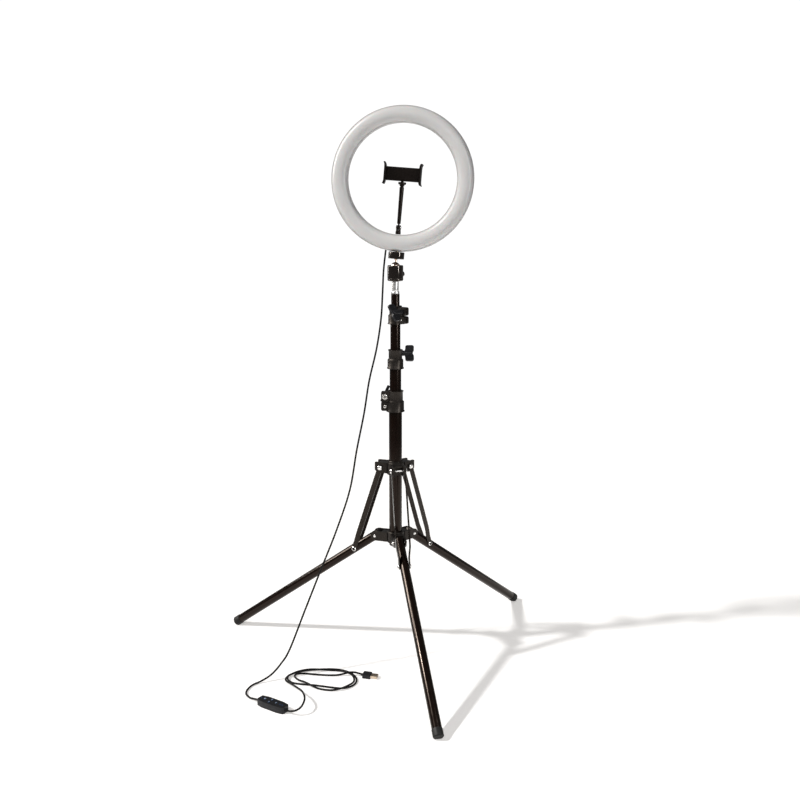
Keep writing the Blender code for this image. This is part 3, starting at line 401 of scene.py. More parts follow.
def make_looks():
    """One material for each of the record's slots, and a few more for trim that shares a slot."""
    return {
        "black_paint": surface("black_paint", (0.0040, 0.0014, 0.0008), 0.20, specular=0.26, sheen=BROWN,
                               rough_spread=0.04, grain=4.0, depth=0.0004, wear=0.2,
                               wear_colour=(0.05, 0.042, 0.036)),
        "dark_grey_plastic": surface("dark_grey_plastic", (0.0105, 0.0092, 0.0085), 0.36, specular=0.30,
                                     sheen=WARM, shade=0.25, grain=0.35, depth=0.008,
                                     rough_spread=0.10, dust=0.25),
        "black_knob_plastic": surface("black_knob_plastic", (0.0085, 0.0085, 0.0105), 0.38, specular=0.28,
                                      shade=0.2, grain=0.3, depth=0.007, rough_spread=0.09, dust=0.2),
        "black_rubber": surface("black_rubber", (0.005, 0.0044, 0.004), 0.55, specular=0.28,
                                shade=0.3, grain=0.5, depth=0.012, dust=0.15),
        "chrome": surface("chrome", (0.86, 0.845, 0.82), 0.19, metallic=1.0, shade=0.04,
                          rough_spread=0.04, grain=0.9, depth=0.0003, stretch=(1.0, 1.0, 0.1)),
        "bolt_metal": surface("bolt_metal", (0.56, 0.54, 0.51), 0.26, metallic=1.0, shade=0.05,
                              rough_spread=0.05, grain=0.6, depth=0.0006),
        "spigot_metal": surface("spigot_metal", (0.92, 0.91, 0.89), 0.32, metallic=1.0, shade=0.03,
                                rough_spread=0.05, grain=0.9, depth=0.0003),
        "warm_chrome": surface("warm_chrome", (0.62, 0.50, 0.42), 0.20, metallic=1.0, shade=0.06,
                               rough_spread=0.04, grain=0.9, depth=0.0003),
        "black_anodised": surface("black_anodised", (0.006, 0.0042, 0.0038), 0.13, specular=0.6,
                                  coat=0.3, sheen=WARM, rough_spread=0.03, grain=3.0, depth=0.0001),
        "strut_steel": surface("strut_steel", (0.0060, 0.0042, 0.0034), 0.24, specular=0.34, sheen=WARM,
                               grain=3.0, depth=0.0008, wear=0.35, wear_colour=(0.07, 0.06, 0.052)),
        "white_shell": surface("white_shell", (0.64, 0.63, 0.62), 0.42, specular=0.4, shade=0.03,
                               grain=0.35, depth=0.004, rough_spread=0.06),
        "frosted_diffuser": surface("frosted_diffuser", (0.70, 0.69, 0.68), 0.36, specular=0.35,
                                    subsurface=0.10, shade=0.02, patch=45.0, grain=0.4, depth=0.002),
        "led_board": surface("led_board", (0.72, 0.70, 0.60), 0.5, shade=0.05, grain=0.5, depth=0.01),
        "brass": surface("brass", (0.72, 0.54, 0.27), 0.26, metallic=1.0, shade=0.08,
                         grain=0.5, depth=0.003, stretch=(1.0, 1.0, 6.0)),
        "clip_plastic": surface("clip_plastic", (0.0035, 0.0020, 0.0019), 0.30, specular=0.20, sheen=WARM,
                                shade=0.2, grain=0.4, depth=0.004, dust=0.08),
        "cord_pvc": surface("cord_pvc", (0.0025, 0.0022, 0.0021), 0.50, specular=0.14,
                            shade=0.2, grain=1.5, depth=0.0015),
        "button_plastic": surface("button_plastic", (0.008, 0.026, 0.070), 0.30, shade=0.15,
                                  grain=0.3, depth=0.004),
        "plug_metal": surface("plug_metal", (0.60, 0.49, 0.38), 0.28, metallic=1.0, shade=0.06,
                              grain=0.5, depth=0.0015, stretch=(0.15, 1.0, 1.0)),
        "mark_light": surface("mark_light", (0.50, 0.62, 0.80), 0.5, shade=0.05, grain=0.3, depth=0.002),
        "mark_blue": surface("mark_blue", (0.03, 0.13, 0.40), 0.45, shade=0.1, grain=0.3, depth=0.002),
        "end_plug": surface("end_plug", (0.34, 0.34, 0.34), 0.5, shade=0.08, grain=0.4, depth=0.008),
        "tongue": surface("tongue", (0.62, 0.62, 0.60), 0.45, shade=0.05, grain=0.3, depth=0.003),
    }


make_camera()
make_stage()
LOOKS = make_looks()


# ---------------------------------------------------------------- shapes


def finished(bm, name="shape"):
    """A closed bmesh made into an object whose faces point out."""
    bmesh.ops.recalc_face_normals(bm, faces=bm.faces)
    mesh = bpy.data.meshes.new(name)
    bm.to_mesh(mesh)
    bm.free()
    made = bpy.data.objects.new(name, mesh)
    bpy.context.scene.collection.objects.link(made)
    return made


def moved(obj, matrix):
    """Move a shape that is still in millimetres by a place given in metres."""
    lifted = matrix.copy()
    lifted.translation = lifted.translation / MM
    obj.data.transform(lifted)
    return obj


def combine(target, operation, tools):
    for tool in tools:
        step = target.modifiers.new("step", "BOOLEAN")
        step.operation = operation
        step.solver = "EXACT"
        step.object = tool
        graph = bpy.context.evaluated_depsgraph_get()
        result = bpy.data.meshes.new_from_object(target.evaluated_get(graph))
        target.modifiers.clear()
        target.data = result
        bpy.data.objects.remove(tool, do_unlink=True)
    return target


def cut(target, *tools):
    return combine(target, "DIFFERENCE", tools)


def join(target, *tools):
    return combine(target, "UNION", tools)


def arc(middle, radius, start, end, steps):
    points = []
    for step in range(steps + 1):
        angle = math.radians(start + (end - start) * step / steps)
        points.append((middle[0] + radius * math.cos(angle), middle[1] + radius * math.sin(angle)))
    return points


def soften(points, radius, closed=False, steps=3):
    """Round the corners of an outline, each with a short curve."""
    corners = [Vector(point) for point in points]
    count = len(corners)
    result = []
    for index, corner in enumerate(corners):
        before = corners[index - 1] - corner
        after = corners[(index + 1) % count] - corner
        is_end = not closed and index in (0, count - 1)
        if is_end or min(before.length, after.length) < 1e-6 or before.angle(after) > math.radians(160):
            result.append(corner)
            continue
        reach = min(radius, before.length * 0.45, after.length * 0.45)
        start = corner + before.normalized() * reach
        end = corner + after.normalized() * reach
        for step in range(steps + 1):
            t = step / steps
            result.append(start * (1 - t) ** 2 + corner * (2 * t * (1 - t)) + end * t**2)
    return [tuple(point) for point in result]


def lathe(profile, sides=48, closed=False, edge=0.3):
    """Turn (radius, height) points about Z, with its corners rounded by edge."""
    if edge:
        profile = soften(profile, edge, closed)
    bm = bmesh.new()
    rings = []
    for radius, height in profile:
        if radius < 1e-6:
            rings.append([bm.verts.new((0, 0, height))])
            continue
        angles = [2 * math.pi * side / sides for side in range(sides)]
        around = [(radius * math.cos(angle), radius * math.sin(angle), height) for angle in angles]
        rings.append([bm.verts.new(point) for point in around])
    pairs = list(zip(rings, rings[1:]))
    if closed:
        pairs.append((rings[-1], rings[0]))
    for low, high in pairs:
        if len(low) == 1 and len(high) == 1:
            continue
        for side in range(sides):
            after = (side + 1) % sides
            if len(low) == 1:
                bm.faces.new((low[0], high[side], high[after]))
            elif len(high) == 1:
                bm.faces.new((low[side], high[0], low[after]))
            else:
                bm.faces.new((low[side], high[side], high[after], low[after]))
    return finished(bm)


def prism(outline, low, high):
    bm = bmesh.new()
    face = bm.faces.new([bm.verts.new((x, y, low)) for x, y in outline])
    grown = bmesh.ops.extrude_face_region(bm, geom=[face])
    top = [item for item in grown["geom"] if isinstance(item, bmesh.types.BMVert)]
    bmesh.ops.translate(bm, verts=top, vec=Vector((0, 0, high - low)))
    return finished(bm)


def slab(low, high):
    outline = [(low[0], low[1]), (high[0], low[1]), (high[0], high[1]), (low[0], high[1])]
    return prism(outline, low[2], high[2])


def rounded_box(low, high, radius):
    """A block whose upright corners are rounded."""
    outline = [(low[0], low[1]), (high[0], low[1]), (high[0], high[1]), (low[0], high[1])]
    return prism(soften(outline, radius, closed=True, steps=5), low[2], high[2])


def rod(radius, low, high, sides=32):
    return lathe([(0, low), (radius, low), (radius, high), (0, high)], sides, edge=0)


def round_edges(obj, width, segments=3):
    """Round the edges that a mould or a file would, width in millimetres."""
    bevel = obj.modifiers.new("edges", "BEVEL")
    bevel.width = width * MM
    bevel.segments = segments
    bevel.limit_method = "ANGLE"
    bevel.angle_limit = math.radians(38)
    bevel.harden_normals = True


def show(obj, name, slot, body, place=None, stands_for=(), edge=0.0, look=None, sharp=40.0):
    """Name a shape made in millimetres, put it in its place, and let it ride on its body."""
    obj.name = name
    obj.data.name = name
    obj.data.transform((place or Matrix()) @ Matrix.Scale(MM, 4))
    obj.data.materials.clear()
    obj.data.materials.append(LOOKS[look or slot])
    obj.data.shade_smooth()
    obj.data.set_sharp_from_angle(angle=math.radians(sharp))
    if edge:
        round_edges(obj, edge)
    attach(obj, body)
    if stands_for:
        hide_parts(*stands_for)
    return obj


def refined(node, slot, edge):
    """A copy of a node with its flat faces made whole and its edges rounded, in the node's place."""
    bm = bmesh.new()
    bm.from_mesh(frame["nodes"][node].data)
    bmesh.ops.remove_doubles(bm, verts=bm.verts, dist=1e-6)
    bmesh.ops.dissolve_limit(bm, angle_limit=math.radians(0.8), verts=bm.verts, edges=bm.edges)
    made = finished(bm)
    made.data.transform(Matrix.Scale(1 / MM, 4))
    return show(made, node + "_shown", slot, BODY_OF[node], stands_for=[node], edge=edge, sharp=34.0)


def cross_recess(obj, top, depth, width, length):
    """Cut a cross for a screwdriver into a head whose top is at the given height on Z."""
    for turn in (0, 90):
        bar = slab((-length / 2, -width / 2, top - depth), (length / 2, width / 2, top + 2))
        cut(obj, moved(bar, turned(turn, "Z")))
    return obj


# ---------------------------------------------------------------- cord


def smooth_route(points, step):
    """A Catmull-Rom curve through the points, read at an even spacing."""
    ends = [2 * points[0] - points[1], *points, 2 * points[-1] - points[-2]]
    fine = []
    for index in range(1, len(ends) - 2):
        before, start, end, after = ends[index - 1 : index + 3]
        for part in range(24):
            t = part / 24
            bend = (2 * before - 5 * start + 4 * end - after) * t**2
            twist = (3 * start - before - 3 * end + after) * t**3
            fine.append(0.5 * (2 * start + (end - before) * t + bend + twist))
    fine.append(points[-1])
    lengths = [0.0]
    for low, high in zip(fine, fine[1:]):
        lengths.append(lengths[-1] + (high - low).length)
    count = round(lengths[-1] / step)
    even = []
    index = 0
    for number in range(count + 1):
        wanted = lengths[-1] * number / count
        while index < len(fine) - 2 and lengths[index + 1] < wanted:
            index += 1
        share = (wanted - lengths[index]) / (lengths[index + 1] - lengths[index])
        even.append(fine[index].lerp(fine[index + 1], min(1.0, share)))
    return even


def lie_on_itself(path, spacing):
    """Lift a cord on the floor over its own earlier turns, in long low humps."""
    reach = 26.0
    apart = 2 * CORD_RADIUS + 0.15
    skip = round(20.0 / spacing)
    window = round(reach / spacing)
    resting = [point.z for point in path]
    for _ in range(5):
        needed = list(resting)
        for index, point in enumerate(path):
            for other in path[: max(0, index - skip)]:
                aside = math.hypot(point.x - other.x, point.y - other.y)
                if aside < apart:
                    over = other.z + math.sqrt(apart**2 - aside**2)
                    needed[index] = max(needed[index], over)
        for index, point in enumerate(path):
            height = resting[index]
            for near in range(max(0, index - window), min(len(path), index + window + 1)):
                fade = 0.5 + 0.5 * math.cos(math.pi * (near - index) / (window + 1))
                height = max(height, resting[index] + (needed[near] - resting[near]) * fade)
            point.z = height
    return path


def rings_along(path, radius):
    """A ring of points about each point of a path, turned as little as possible from one to the next."""
    across = Vector((0, 0, 1)).cross(path[1] - path[0])
    if across.length < 1e-6:
        across = Vector((1, 0, 0))
    rings = []
    for index, point in enumerate(path):
        ahead = (path[min(index + 1, len(path) - 1)] - path[max(index - 1, 0)]).normalized()
        across = (across - ahead * across.dot(ahead)).normalized()
        up = ahead.cross(across)
        ring = []
        for side in range(CORD_SIDES):
            angle = 2 * math.pi * side / CORD_SIDES
            ring.append(point + (across * math.cos(angle) + up * math.sin(angle)) * radius)
        rings.append(ring)
    return rings


def tube_of(rings):
    bm = bmesh.new()
    loops = [[bm.verts.new(point) for point in ring] for ring in rings]
    for low, high in zip(loops, loops[1:]):
        for side in range(CORD_SIDES):
            after = (side + 1) % CORD_SIDES
            bm.faces.new((low[side], high[side], high[after], low[after]))
    bm.faces.new(loops[0])
    bm.faces.new(loops[-1][::-1])
    return finished(bm)


def cord_piece(name, rings, replaced):
    obj = tube_of(rings)
    obj.name = name
    obj.data.name = name
    obj.data.transform(COLUMN @ Matrix.Scale(MM, 4))
    obj.data.materials.append(LOOKS["cord_pvc"])
    obj.data.shade_smooth()
    obj.data.set_sharp_from_angle(angle=math.radians(50))
    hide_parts(*replaced)
    return obj


def hanging_cord():
    """The cord from the lamp to the dimmer, cut where it passes from one moving body to the next."""
    path = smooth_route([Vector(point) for point in UPPER_ROUTE], CORD_STEP)
    rings = rings_along(path, CORD_RADIUS)
    start = 0
    made = []
    for upper, lower, height in CORD_CHAIN:
        end = next(index for index, point in enumerate(path) if point.z < height)
        part = path[start : end + 1]
        name = f"cord_{upper}_to_{lower}"
        obj = cord_piece(name, rings[start : end + 1], ["cord_upper"])
        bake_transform(obj)
        made.append((obj, part))
        start = end
    part = path[start:]
    obj = cord_piece("cord_to_dimmer", rings[start:], ["cord_upper"])
    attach(obj, "base")
    made.append((obj, part))
    return made


def floor_cord():
    points = [Vector(point) if len(point) == 3 else Vector((*point, CORD_FLOOR)) for point in FLOOR_ROUTE]
    path = lie_on_itself(smooth_route(points, CORD_STEP), CORD_STEP)
    rings = rings_along(path, CORD_RADIUS)
    obj = cord_piece("cord_to_plug", rings, ["cord_lower", "cord_coil", "cord_tail"])
    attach(obj, "base")
    return obj, path


hanging = hanging_cord()
on_floor = floor_cord()


# ---------------------------------------------------------------- column


def tubes():
    for name, (radius, low, high) in TUBES.items():
        inner = radius - TUBE_WALL
        profile = [(inner, low), (radius, low), (radius, high), (inner, high)]
        body = lathe(profile, TUBE_SIDES, closed=True, edge=0.35)
        show(body, name + "_shown", "black_paint", BODY_OF[name], COLUMN, [name])
    bottom = TUBES["outer_tube"][1]
    plug = lathe([(0, bottom - 2.4), (9.5, bottom - 2.4), (11.9, bottom - 1.6), (11.9, bottom - 0.1),
                  (10.9, bottom - 0.1), (10.9, bottom + 9.0), (0, bottom + 9.0)], TUBE_SIDES)
    show(plug, "column_end_plug", "dark_grey_plastic", "base", COLUMN, look="end_plug")


def screw(head_radius, head_height, shank, length):
    """A pan-head screw about Z with its head on +Z from 0 up, and a cross in it."""
    dome = [(head_radius, 0.0), (head_radius, head_height * 0.35), (head_radius * 0.86, head_height * 0.8),
            (head_radius * 0.5, head_height), (0, head_height)]
    body = lathe([(0, -length), (shank, -length), (shank, 0.0), *dome], 32, edge=0.25)
    return cross_recess(body, head_height, head_height * 0.7, head_radius * 0.24, head_radius * 1.3)


def wing_knob():
    """A boss about Z with two rounded wings reaching towards -Z, and a blind hole for the bolt."""
    start = -EAR_HALF_WIDTH - GAP
    profile = [(0, start), (5.8, start), (5.5, start - 3.0), (5.0, -20), (4.6, -30), (3.4, -31.5), (0, -31.5)]
    boss = lathe(profile, 40, edge=0.6)
    half = [(0.0, -18.0), (4.8, -18.0), (9.5, -18.6)]
    half += arc((12.8, -22.6), 3.8, 90, 8, 6)
    half += arc((12.4, -31.0), 4.4, 0, -90, 6)
    half += [(6.0, -35.2), (3.0, -33.4), (0.0, -33.0)]
    outline = half + [(-x, y) for x, y in half[::-1][1:-1]]
    wings = moved(prism(soften(outline, 1.0, closed=True), -2.3, 2.3), turned(90, "X"))
    join(boss, wings)
    return cut(boss, rod(BOLT_RADIUS + GAP, -17.5, 0))


def collar_trim():
    for name, (height, wing_turn) in COLLARS.items():
        node = f"{name}_collar"
        refined(node, "dark_grey_plastic", 0.45)
        knob_joint = f"{name}_knob_turn"
        here = pin_place(knob_joint)
        bolt_body = BODY_OF[node + "_bolt"]
        side = here @ turned(-90, "X")
        head = EAR_HALF_WIDTH + GAP
        bolt = moved(screw(5.2, 3.2, BOLT_RADIUS, 17 + head), at(0, 0, head))
        show(bolt, node + "_bolt_shown", "chrome", bolt_body, side, [node + "_bolt"], look="bolt_metal")
        bore = BOLT_RADIUS + 0.4
        washer = lathe([(5.7, 0), (5.7, 0.28), (bore, 0.28), (bore, 0)], 32, closed=True, edge=0.1)
        show(washer, node + "_washer", "chrome", bolt_body, side @ at(0, 0, EAR_HALF_WIDTH + 0.01))
        lower_tier = 1.0 - height / 2
        small = screw(3.3, 2.0, 1.6, 2 * EAR_HALF_WIDTH + 1.2)
        small_place = here @ at(0, 0, lower_tier) @ turned(-90, "X") @ at(0, 0, head - 0.2)
        show(small, node + "_small_screw", "chrome", bolt_body, small_place, look="bolt_metal")
        body = BODY_OF[node + "_knob"]
        knob = wing_knob()
        knob_place = here @ turned(wing_turn, "Y") @ turned(-90, "X")
        show(knob, node + "_knob_shown", "black_knob_plastic", body, knob_place, [node + "_knob"], edge=0.45)


# ---------------------------------------------------------------- legs and spiders


def cross_pin(inner_length, head_radius, head_height):
    half = inner_length / 2
    top = half + head_height
    low_head = [(0, -top), (head_radius * 0.7, -top), (head_radius, -half - 0.5), (head_radius, -half)]
    high_head = [(radius, -height) for radius, height in low_head[::-1]]
    return lathe([*low_head, (PIN_RADIUS, -half), (PIN_RADIUS, half), *high_head], 32, edge=0.35)


def leg_tube():
    inner = LEG_RADIUS - TUBE_WALL
    profile = [(inner, -LEG_HEEL), (LEG_RADIUS, -LEG_HEEL), (LEG_RADIUS, LEG_END), (inner, LEG_END)]
    body = moved(lathe(profile, 60, closed=True, edge=0.5), turned(90, "Y"))
    return cut(body, moved(rod(PIN_RADIUS + GAP, -20, 20), turned(-90, "X")))


def heel_plug():
    """The moulded plug in the open end of a leg, cut back where the pin passes."""
    inner = LEG_RADIUS - TUBE_WALL - 0.05
    start = -LEG_HEEL - 1.0
    lip = LEG_RADIUS - 0.6
    profile = [(0, start), (inner - 1.0, start), (lip, start + 0.7), (lip, start + 1.0)]
    profile += [(inner, start + 1.0), (inner, start + 4.5), (0, start + 4.5)]
    return moved(lathe(profile, 48), turned(90, "Y"))


def strut_foot(name):
    """Where a strut's rivet stands, worked out from the strut's own hinge, slope and length."""
    top = pin_place(f"strut_{name}_swing") @ turned(90 - STRUT_LEAN, "Y")
    return top @ at(STRUT_LENGTH, 0, 0)


def foot_cap(leg_place):
    """A thin rubber cup over the leg's end, cut flat where it stands on the floor."""
    start, end = FOOT
    profile = [(LEG_RADIUS + 0.05, start), (FOOT_RADIUS, start + 0.2), (FOOT_RADIUS, end - 1.4),
               (FOOT_RADIUS - 1.4, end), (0, end), (0, LEG_END + GAP), (LEG_RADIUS + 0.05, LEG_END + GAP)]
    cap = moved(lathe(profile, 60, closed=True), turned(90, "Y"))
    below = slab((-900, -900, -60), (900, 900, 0.02))
    return cut(cap, moved(below, leg_place.inverted()))


def legs():
    for name in LEG_NAMES:
        place = pin_place(f"leg_{name}_fold")
        leg_place = place @ turned(LEG_SLOPE, "Y")
        leg = f"leg_{name}"
        show(leg_tube(), f"leg_tube_{name}_shown", "black_paint", leg, leg_place, [f"leg_tube_{name}"])
        show(heel_plug(), f"leg_heel_{name}", "dark_grey_plastic", leg, leg_place)
        cap = foot_cap(leg_place)
        show(cap, f"foot_cap_{name}_shown", "black_rubber", leg, leg_place, [f"foot_cap_{name}"])
        pin = cross_pin(24.6, 3.0, 2.0)
        show(pin, f"leg_pin_{name}_shown", "chrome", "base", place @ turned(-90, "X"), [f"leg_pin_{name}"])
        for side in "ab":
            refined(f"strut_{side}_{name}", "strut_steel", 0.3)
        for number, side in enumerate((1, -1)):
            at_foot = strut_foot(name)
            head = lathe([(0, 0.6), (4.4, 0.6), (4.4, 1.5), (3.6, 2.3), (2.0, 2.75), (0, 2.9)], 32, edge=0.2)
            rivet = at_foot @ at(0, side * STRUT_FACE, 0) @ turned(-90 * side, "X")
            show(head, f"strut_rivet_{name}_{number + 1}", "chrome", f"strut_{name}", rivet)
        across = pin_place(f"strut_{name}_swing") @ turned(-90, "X")
        bolt = cross_pin(28.8, 5.0, 2.4)
        show(bolt, f"strut_pin_{name}_shown", "chrome", "spider", across, [f"strut_pin_{name}"])
    refined("lower_spider", "dark_grey_plastic", 0.5)
    refined("upper_spider", "dark_grey_plastic", 0.5)


# ---------------------------------------------------------------- ball head


def head():
    top = HOUSING[0] - GAP
    flange = TUBES["top_tube"][2] + GAP
    shank = TUBES["top_tube"][0] - TUBE_WALL - GAP
    profile = [
        (0, 690), (shank, 690), (shank, flange), (7.5, flange), (7.5, flange + 3.4), (6.9, flange + 4.2),
        (6.0, flange + 4.6), (6.0, flange + 6.2), (6.25, flange + 6.8), (6.25, top - 0.6), (5.8, top),
        (3.0, top), (3.0, 741), (0, 741),
    ]
    show(lathe(profile, 64), "spigot_shown", "chrome", "top_stage", COLUMN, ["spigot"], look="spigot_metal")

    low, high = HOUSING
    socket = BALL_RADIUS + 2 * GAP
    rim = math.degrees(math.asin((high - BALL_Z) / socket))
    pocket = [(max(0.0, x), z) for x, z in arc((0, BALL_Z), socket, rim, -90, 14)[:-1]]
    profile = [(0, 741.6), (3.3, 741.6), (3.3, low), (HOUSING_RADIUS - 1.4, low), (HOUSING_RADIUS, low + 1.6),
               (HOUSING_RADIUS, low + 4.0), (HOUSING_RADIUS - 0.3, low + 4.3), (HOUSING_RADIUS, low + 4.6),
               (HOUSING_RADIUS, high - 0.9), (HOUSING_RADIUS - 0.9, high), *pocket, (0, BALL_Z - socket)]
    cup = lathe(profile, 80, edge=0.25)
    direction = axis_of("lock_knob_turn")
    lock = basis(direction.cross(Vector((0, 0, 1))), direction, spot("lock_knob_turn"))
    hole = rod(BOLT_RADIUS + GAP, 9.5, 20)
    cut(cup, moved(hole, COLUMN.inverted() @ lock))
    show(cup, "ball_housing_shown", "black_anodised", "head_housing", COLUMN, ["ball_housing"])

    start = HOUSING_RADIUS + 0.5
    knob = lathe([(0, 10), (BOLT_RADIUS, 10), (BOLT_RADIUS, start), (4.2, start), (5.0, start + 0.8),
                  (5.0, start + 6.0), (4.2, start + 6.8), (0, start + 6.8)], 48)
    for number in range(12):
        groove = moved(rod(0.5, start + 1.0, start + 8.0, 12), turned(number * 30, "Z") @ at(5.2, 0, 0))
        cut(knob, groove)
    show(knob, "ball_lock_knob_shown", "black_anodised", "lock_knob", lock, ["ball_lock_knob"])

    neck = 2.4
    rise = math.degrees(math.acos(neck / BALL_RADIUS))
    ball = arc((0, 0), BALL_RADIUS, -90, rise, 28)
    profile = [(0, -BALL_RADIUS), *ball[1:], (neck, DISC[0] - 0.4), (3.0, DISC[0]), (3.0, 31.6),
               (2.4, 32.4), (0, 32.4)]
    stem_place = basis(HEAD.to_3x3() @ Vector((1, 0, 0)), axis_of("head_spin"), spot("head_nod"))
    ball_body = lathe(profile, 64, edge=0.15)
    show(ball_body, "ball_stem_shown", "chrome", "head_ball", stem_place, ["ball_stem"], look="warm_chrome")

    low, high = DISC[0] + GAP, DISC[1] + 1.6
    profile = [(3.3, low), (DISC_RADIUS - 1.0, low), (DISC_RADIUS, low + 1.0), (DISC_RADIUS, high - 0.8),
               (DISC_RADIUS - 0.8, high), (3.3, high)]
    disc = lathe(profile, 80, closed=True)
    show(disc, "platform_disc_shown", "black_anodised", "ring", HEAD, ["platform_disc"])
    bush = lathe([(3.3, high + GAP), (4.2, high + GAP), (4.2, 33.0), (3.3, 33.0)], 40, closed=True, edge=0.1)
    show(bush, "ring_socket_shown", "brass", "ring", HEAD, ["ring_socket"])


# ---------------------------------------------------------------- ring lamp


def ring_lamp():
    depth = -RING_HALF_DEPTH
    wall = 2.0
    outer = [(RING_OUTER - 1.6, RING_LIP), (RING_OUTER, RING_LIP - 2.4), (RING_OUTER, -2.5)]
    outer += arc((RING_OUTER - 9.0, -2.5), 9.0, 0, -90, 10)[1:]
    inner = arc((RING_INNER + 9.0, -2.5), 9.0, -90, -180, 10)
    inner += [(RING_INNER, RING_LIP - 2.4), (RING_INNER + 1.6, RING_LIP)]
    inside = [(RING_INNER + 1.6, 1.8), (RING_INNER + wall, 1.8), (RING_INNER + wall, -4.0),
              (RING_INNER + 6.0, -4.0), (RING_INNER + 8.5, depth + wall), (RING_OUTER - 8.5, depth + wall),
              (RING_OUTER - 8.0, -4.0), (RING_OUTER - wall, -4.0), (RING_OUTER - wall, 1.8),
              (RING_OUTER - 1.6, 1.8)]
    shell = lathe(outer + inner + inside, RING_SIDES, closed=True, edge=0.5)
    hole = moved(rod(4.7, RING_OUTER - 16, RING_OUTER + 5), at(0, 0, RING_BACK) @ turned(90, "X"))
    cut(shell, hole)
    middle = (RING_OUTER + RING_INNER) / 2
    for number in range(BACK_SCREWS):
        turn = turned(30 + number * 360 / BACK_SCREWS, "Z")
        cut(shell, moved(rod(2.6, depth - 5, depth + 1.1), turn @ at(middle, 0, 0)))
        head_place = RING @ turn @ at(middle, 0, depth + 1.3) @ turned(180, "X")
        small = screw(2.2, 1.0, 1.0, 3.0)
        show(small, f"ring_back_screw_{number + 1}", "white_shell", "ring", head_place, look="chrome")
    show(shell, "ring_back_shell_shown", "white_shell", "ring", RING, ["ring_back_shell"])

    half = (RING_OUTER - RING_INNER) / 2 - 1.65
    low = 1.9
    rise = RING_HALF_DEPTH - low

    def dome(width, height, steps):
        points = []
        for step in range(steps + 1):
            angle = math.pi * step / steps
            points.append((middle + width * math.cos(angle), low + height * abs(math.sin(angle)) ** 0.95))
        return points

    front = dome(half, rise, 28) + dome(half - wall, rise - wall, 20)[::-1]
    diffuser = lathe(front, RING_SIDES, closed=True, edge=0)
    show(diffuser, "ring_diffuser_shown", "frosted_diffuser", "ring", RING, ["ring_diffuser"])

    start = -RING_HALF_DEPTH - GAP
    profile = [(0, start), (5.0, start), (5.0, start - 1.6), (3.6, start - 2.0)]
    for rib in range(3):
        base = start - 2.6 - rib * 2.0
        radius = 3.3 - rib * 0.25
        groove = radius - 0.6
        profile += [(radius, base), (radius, base - 1.1), (groove, base - 1.3), (groove, base - 1.9)]
    profile += [(2.6, start - 9.0), (0, start - 9.0)]
    gland_place = RING @ at(*GLAND_AT, 0)
    gland = lathe(profile, 32, edge=0.15)
    show(gland, "cord_gland_shown", "black_rubber", "ring", gland_place, ["cord_gland"])


# ---------------------------------------------------------------- phone holder


def phone_holder():
    low, high = KNUCKLE
    profile = [(0, low), (4.9, low), (4.9, low + 5.2), (4.5, low + 5.6), (4.5, high - 0.6),
               (4.0, high), (0, high)]
    sleeve = lathe(profile, 48)
    cut(sleeve, slab((-1.6, -10, ARM_HINGE - 4.3), (1.6, 10, high + 5)))
    show(sleeve, "arm_knuckle_shown", "clip_plastic", "ring", HOLDER, ["arm_knuckle"], edge=0.25)
    rivet = lathe([(0, -5.3), (1.9, -5.3), (1.9, 5.3), (0, 5.3)], 24, edge=0.5)
    show(rivet, "arm_rivet", "chrome", "ring", HOLDER @ at(0, 0, ARM_HINGE) @ turned(90, "Y"))

    bottom = ARM_BOTTOM
    top = NECK_TOP - 2.6
    profile = [(0, bottom), (2.9, bottom), (3.4, bottom + 0.8), (4.2, top - 0.8), (3.7, top),
               (2.6, top + 0.2), (2.6, NECK_TOP), (0, NECK_TOP)]
    arm = lathe(profile, 48)
    tongue_outline = [(-2.8, bottom + 3.0), *arc((0, ARM_HINGE), 4.0, 180, 360, 20), (2.8, bottom + 3.0)]
    tongue = moved(prism(tongue_outline, -1.3, 1.3), turned(90, "Z") @ turned(90, "X"))
    join(arm, tongue)
    show(arm, "holder_arm_shown", "clip_plastic", "holder", HOLDER, ["holder_arm"])


def phone_clip():
    """The swivel nut over the arm's end, and the clip that turns on it."""
    low, high = SWIVEL
    seat = arc((0, high), 3.5, 0, -90, 8)
    profile = [(0, NECK_TOP + GAP), (2.9, NECK_TOP + GAP), (2.9, low), (4.2, low), (4.4, high - 4.6),
               (6.6, high - 3.9), (7.3, high - 3.1), (7.3, high - 0.4), (6.9, high),
               *seat[:-1], (0, high - 3.5)]
    nut = lathe(profile, 56, edge=0.2)
    for number in range(16):
        notch = moved(rod(0.45, high - 2.3, high + 1.0, 10), turned(number * 22.5, "Z") @ at(7.45, 0, 0))
        cut(nut, notch)
    show(nut, "clip_swivel_shown", "clip_plastic", "clip_nut", HOLDER, ["clip_swivel"])

    refined("clip_body", "clip_plastic", 0.5)
    refined("clip_jaw", "clip_plastic", 0.4)
    width, depth, height = CLIP_SIZE
    middle = CLIP_BOTTOM + height / 2
    face = HOLDER @ at(0, -depth / 2 - 0.5, middle) @ turned(-90, "X")
    reach = width / 2 - 3.6
    pad = rounded_box((-reach, -height / 2 + 1.6, -0.2), (reach, height / 2 - 1.6, 0.6), 1.2)
    show(pad, "clip_pad", "clip_plastic", "clip", face, edge=0.25)


# ---------------------------------------------------------------- dimmer and plug


def dimmer_outline(inset=0.0):
    half = DIMMER_SIZE[0] / 2 - inset
    wide = DIMMER_SIZE[1] / 2 - inset
    right = [(half - 14, -wide), (half - 1.5, -wide + 2.4), (half, -wide + 4.4)]
    right += [(x, -y) for x, y in right[::-1]]
    return soften(right + [(-x, -y) for x, y in right], 2.4, closed=True, steps=5)


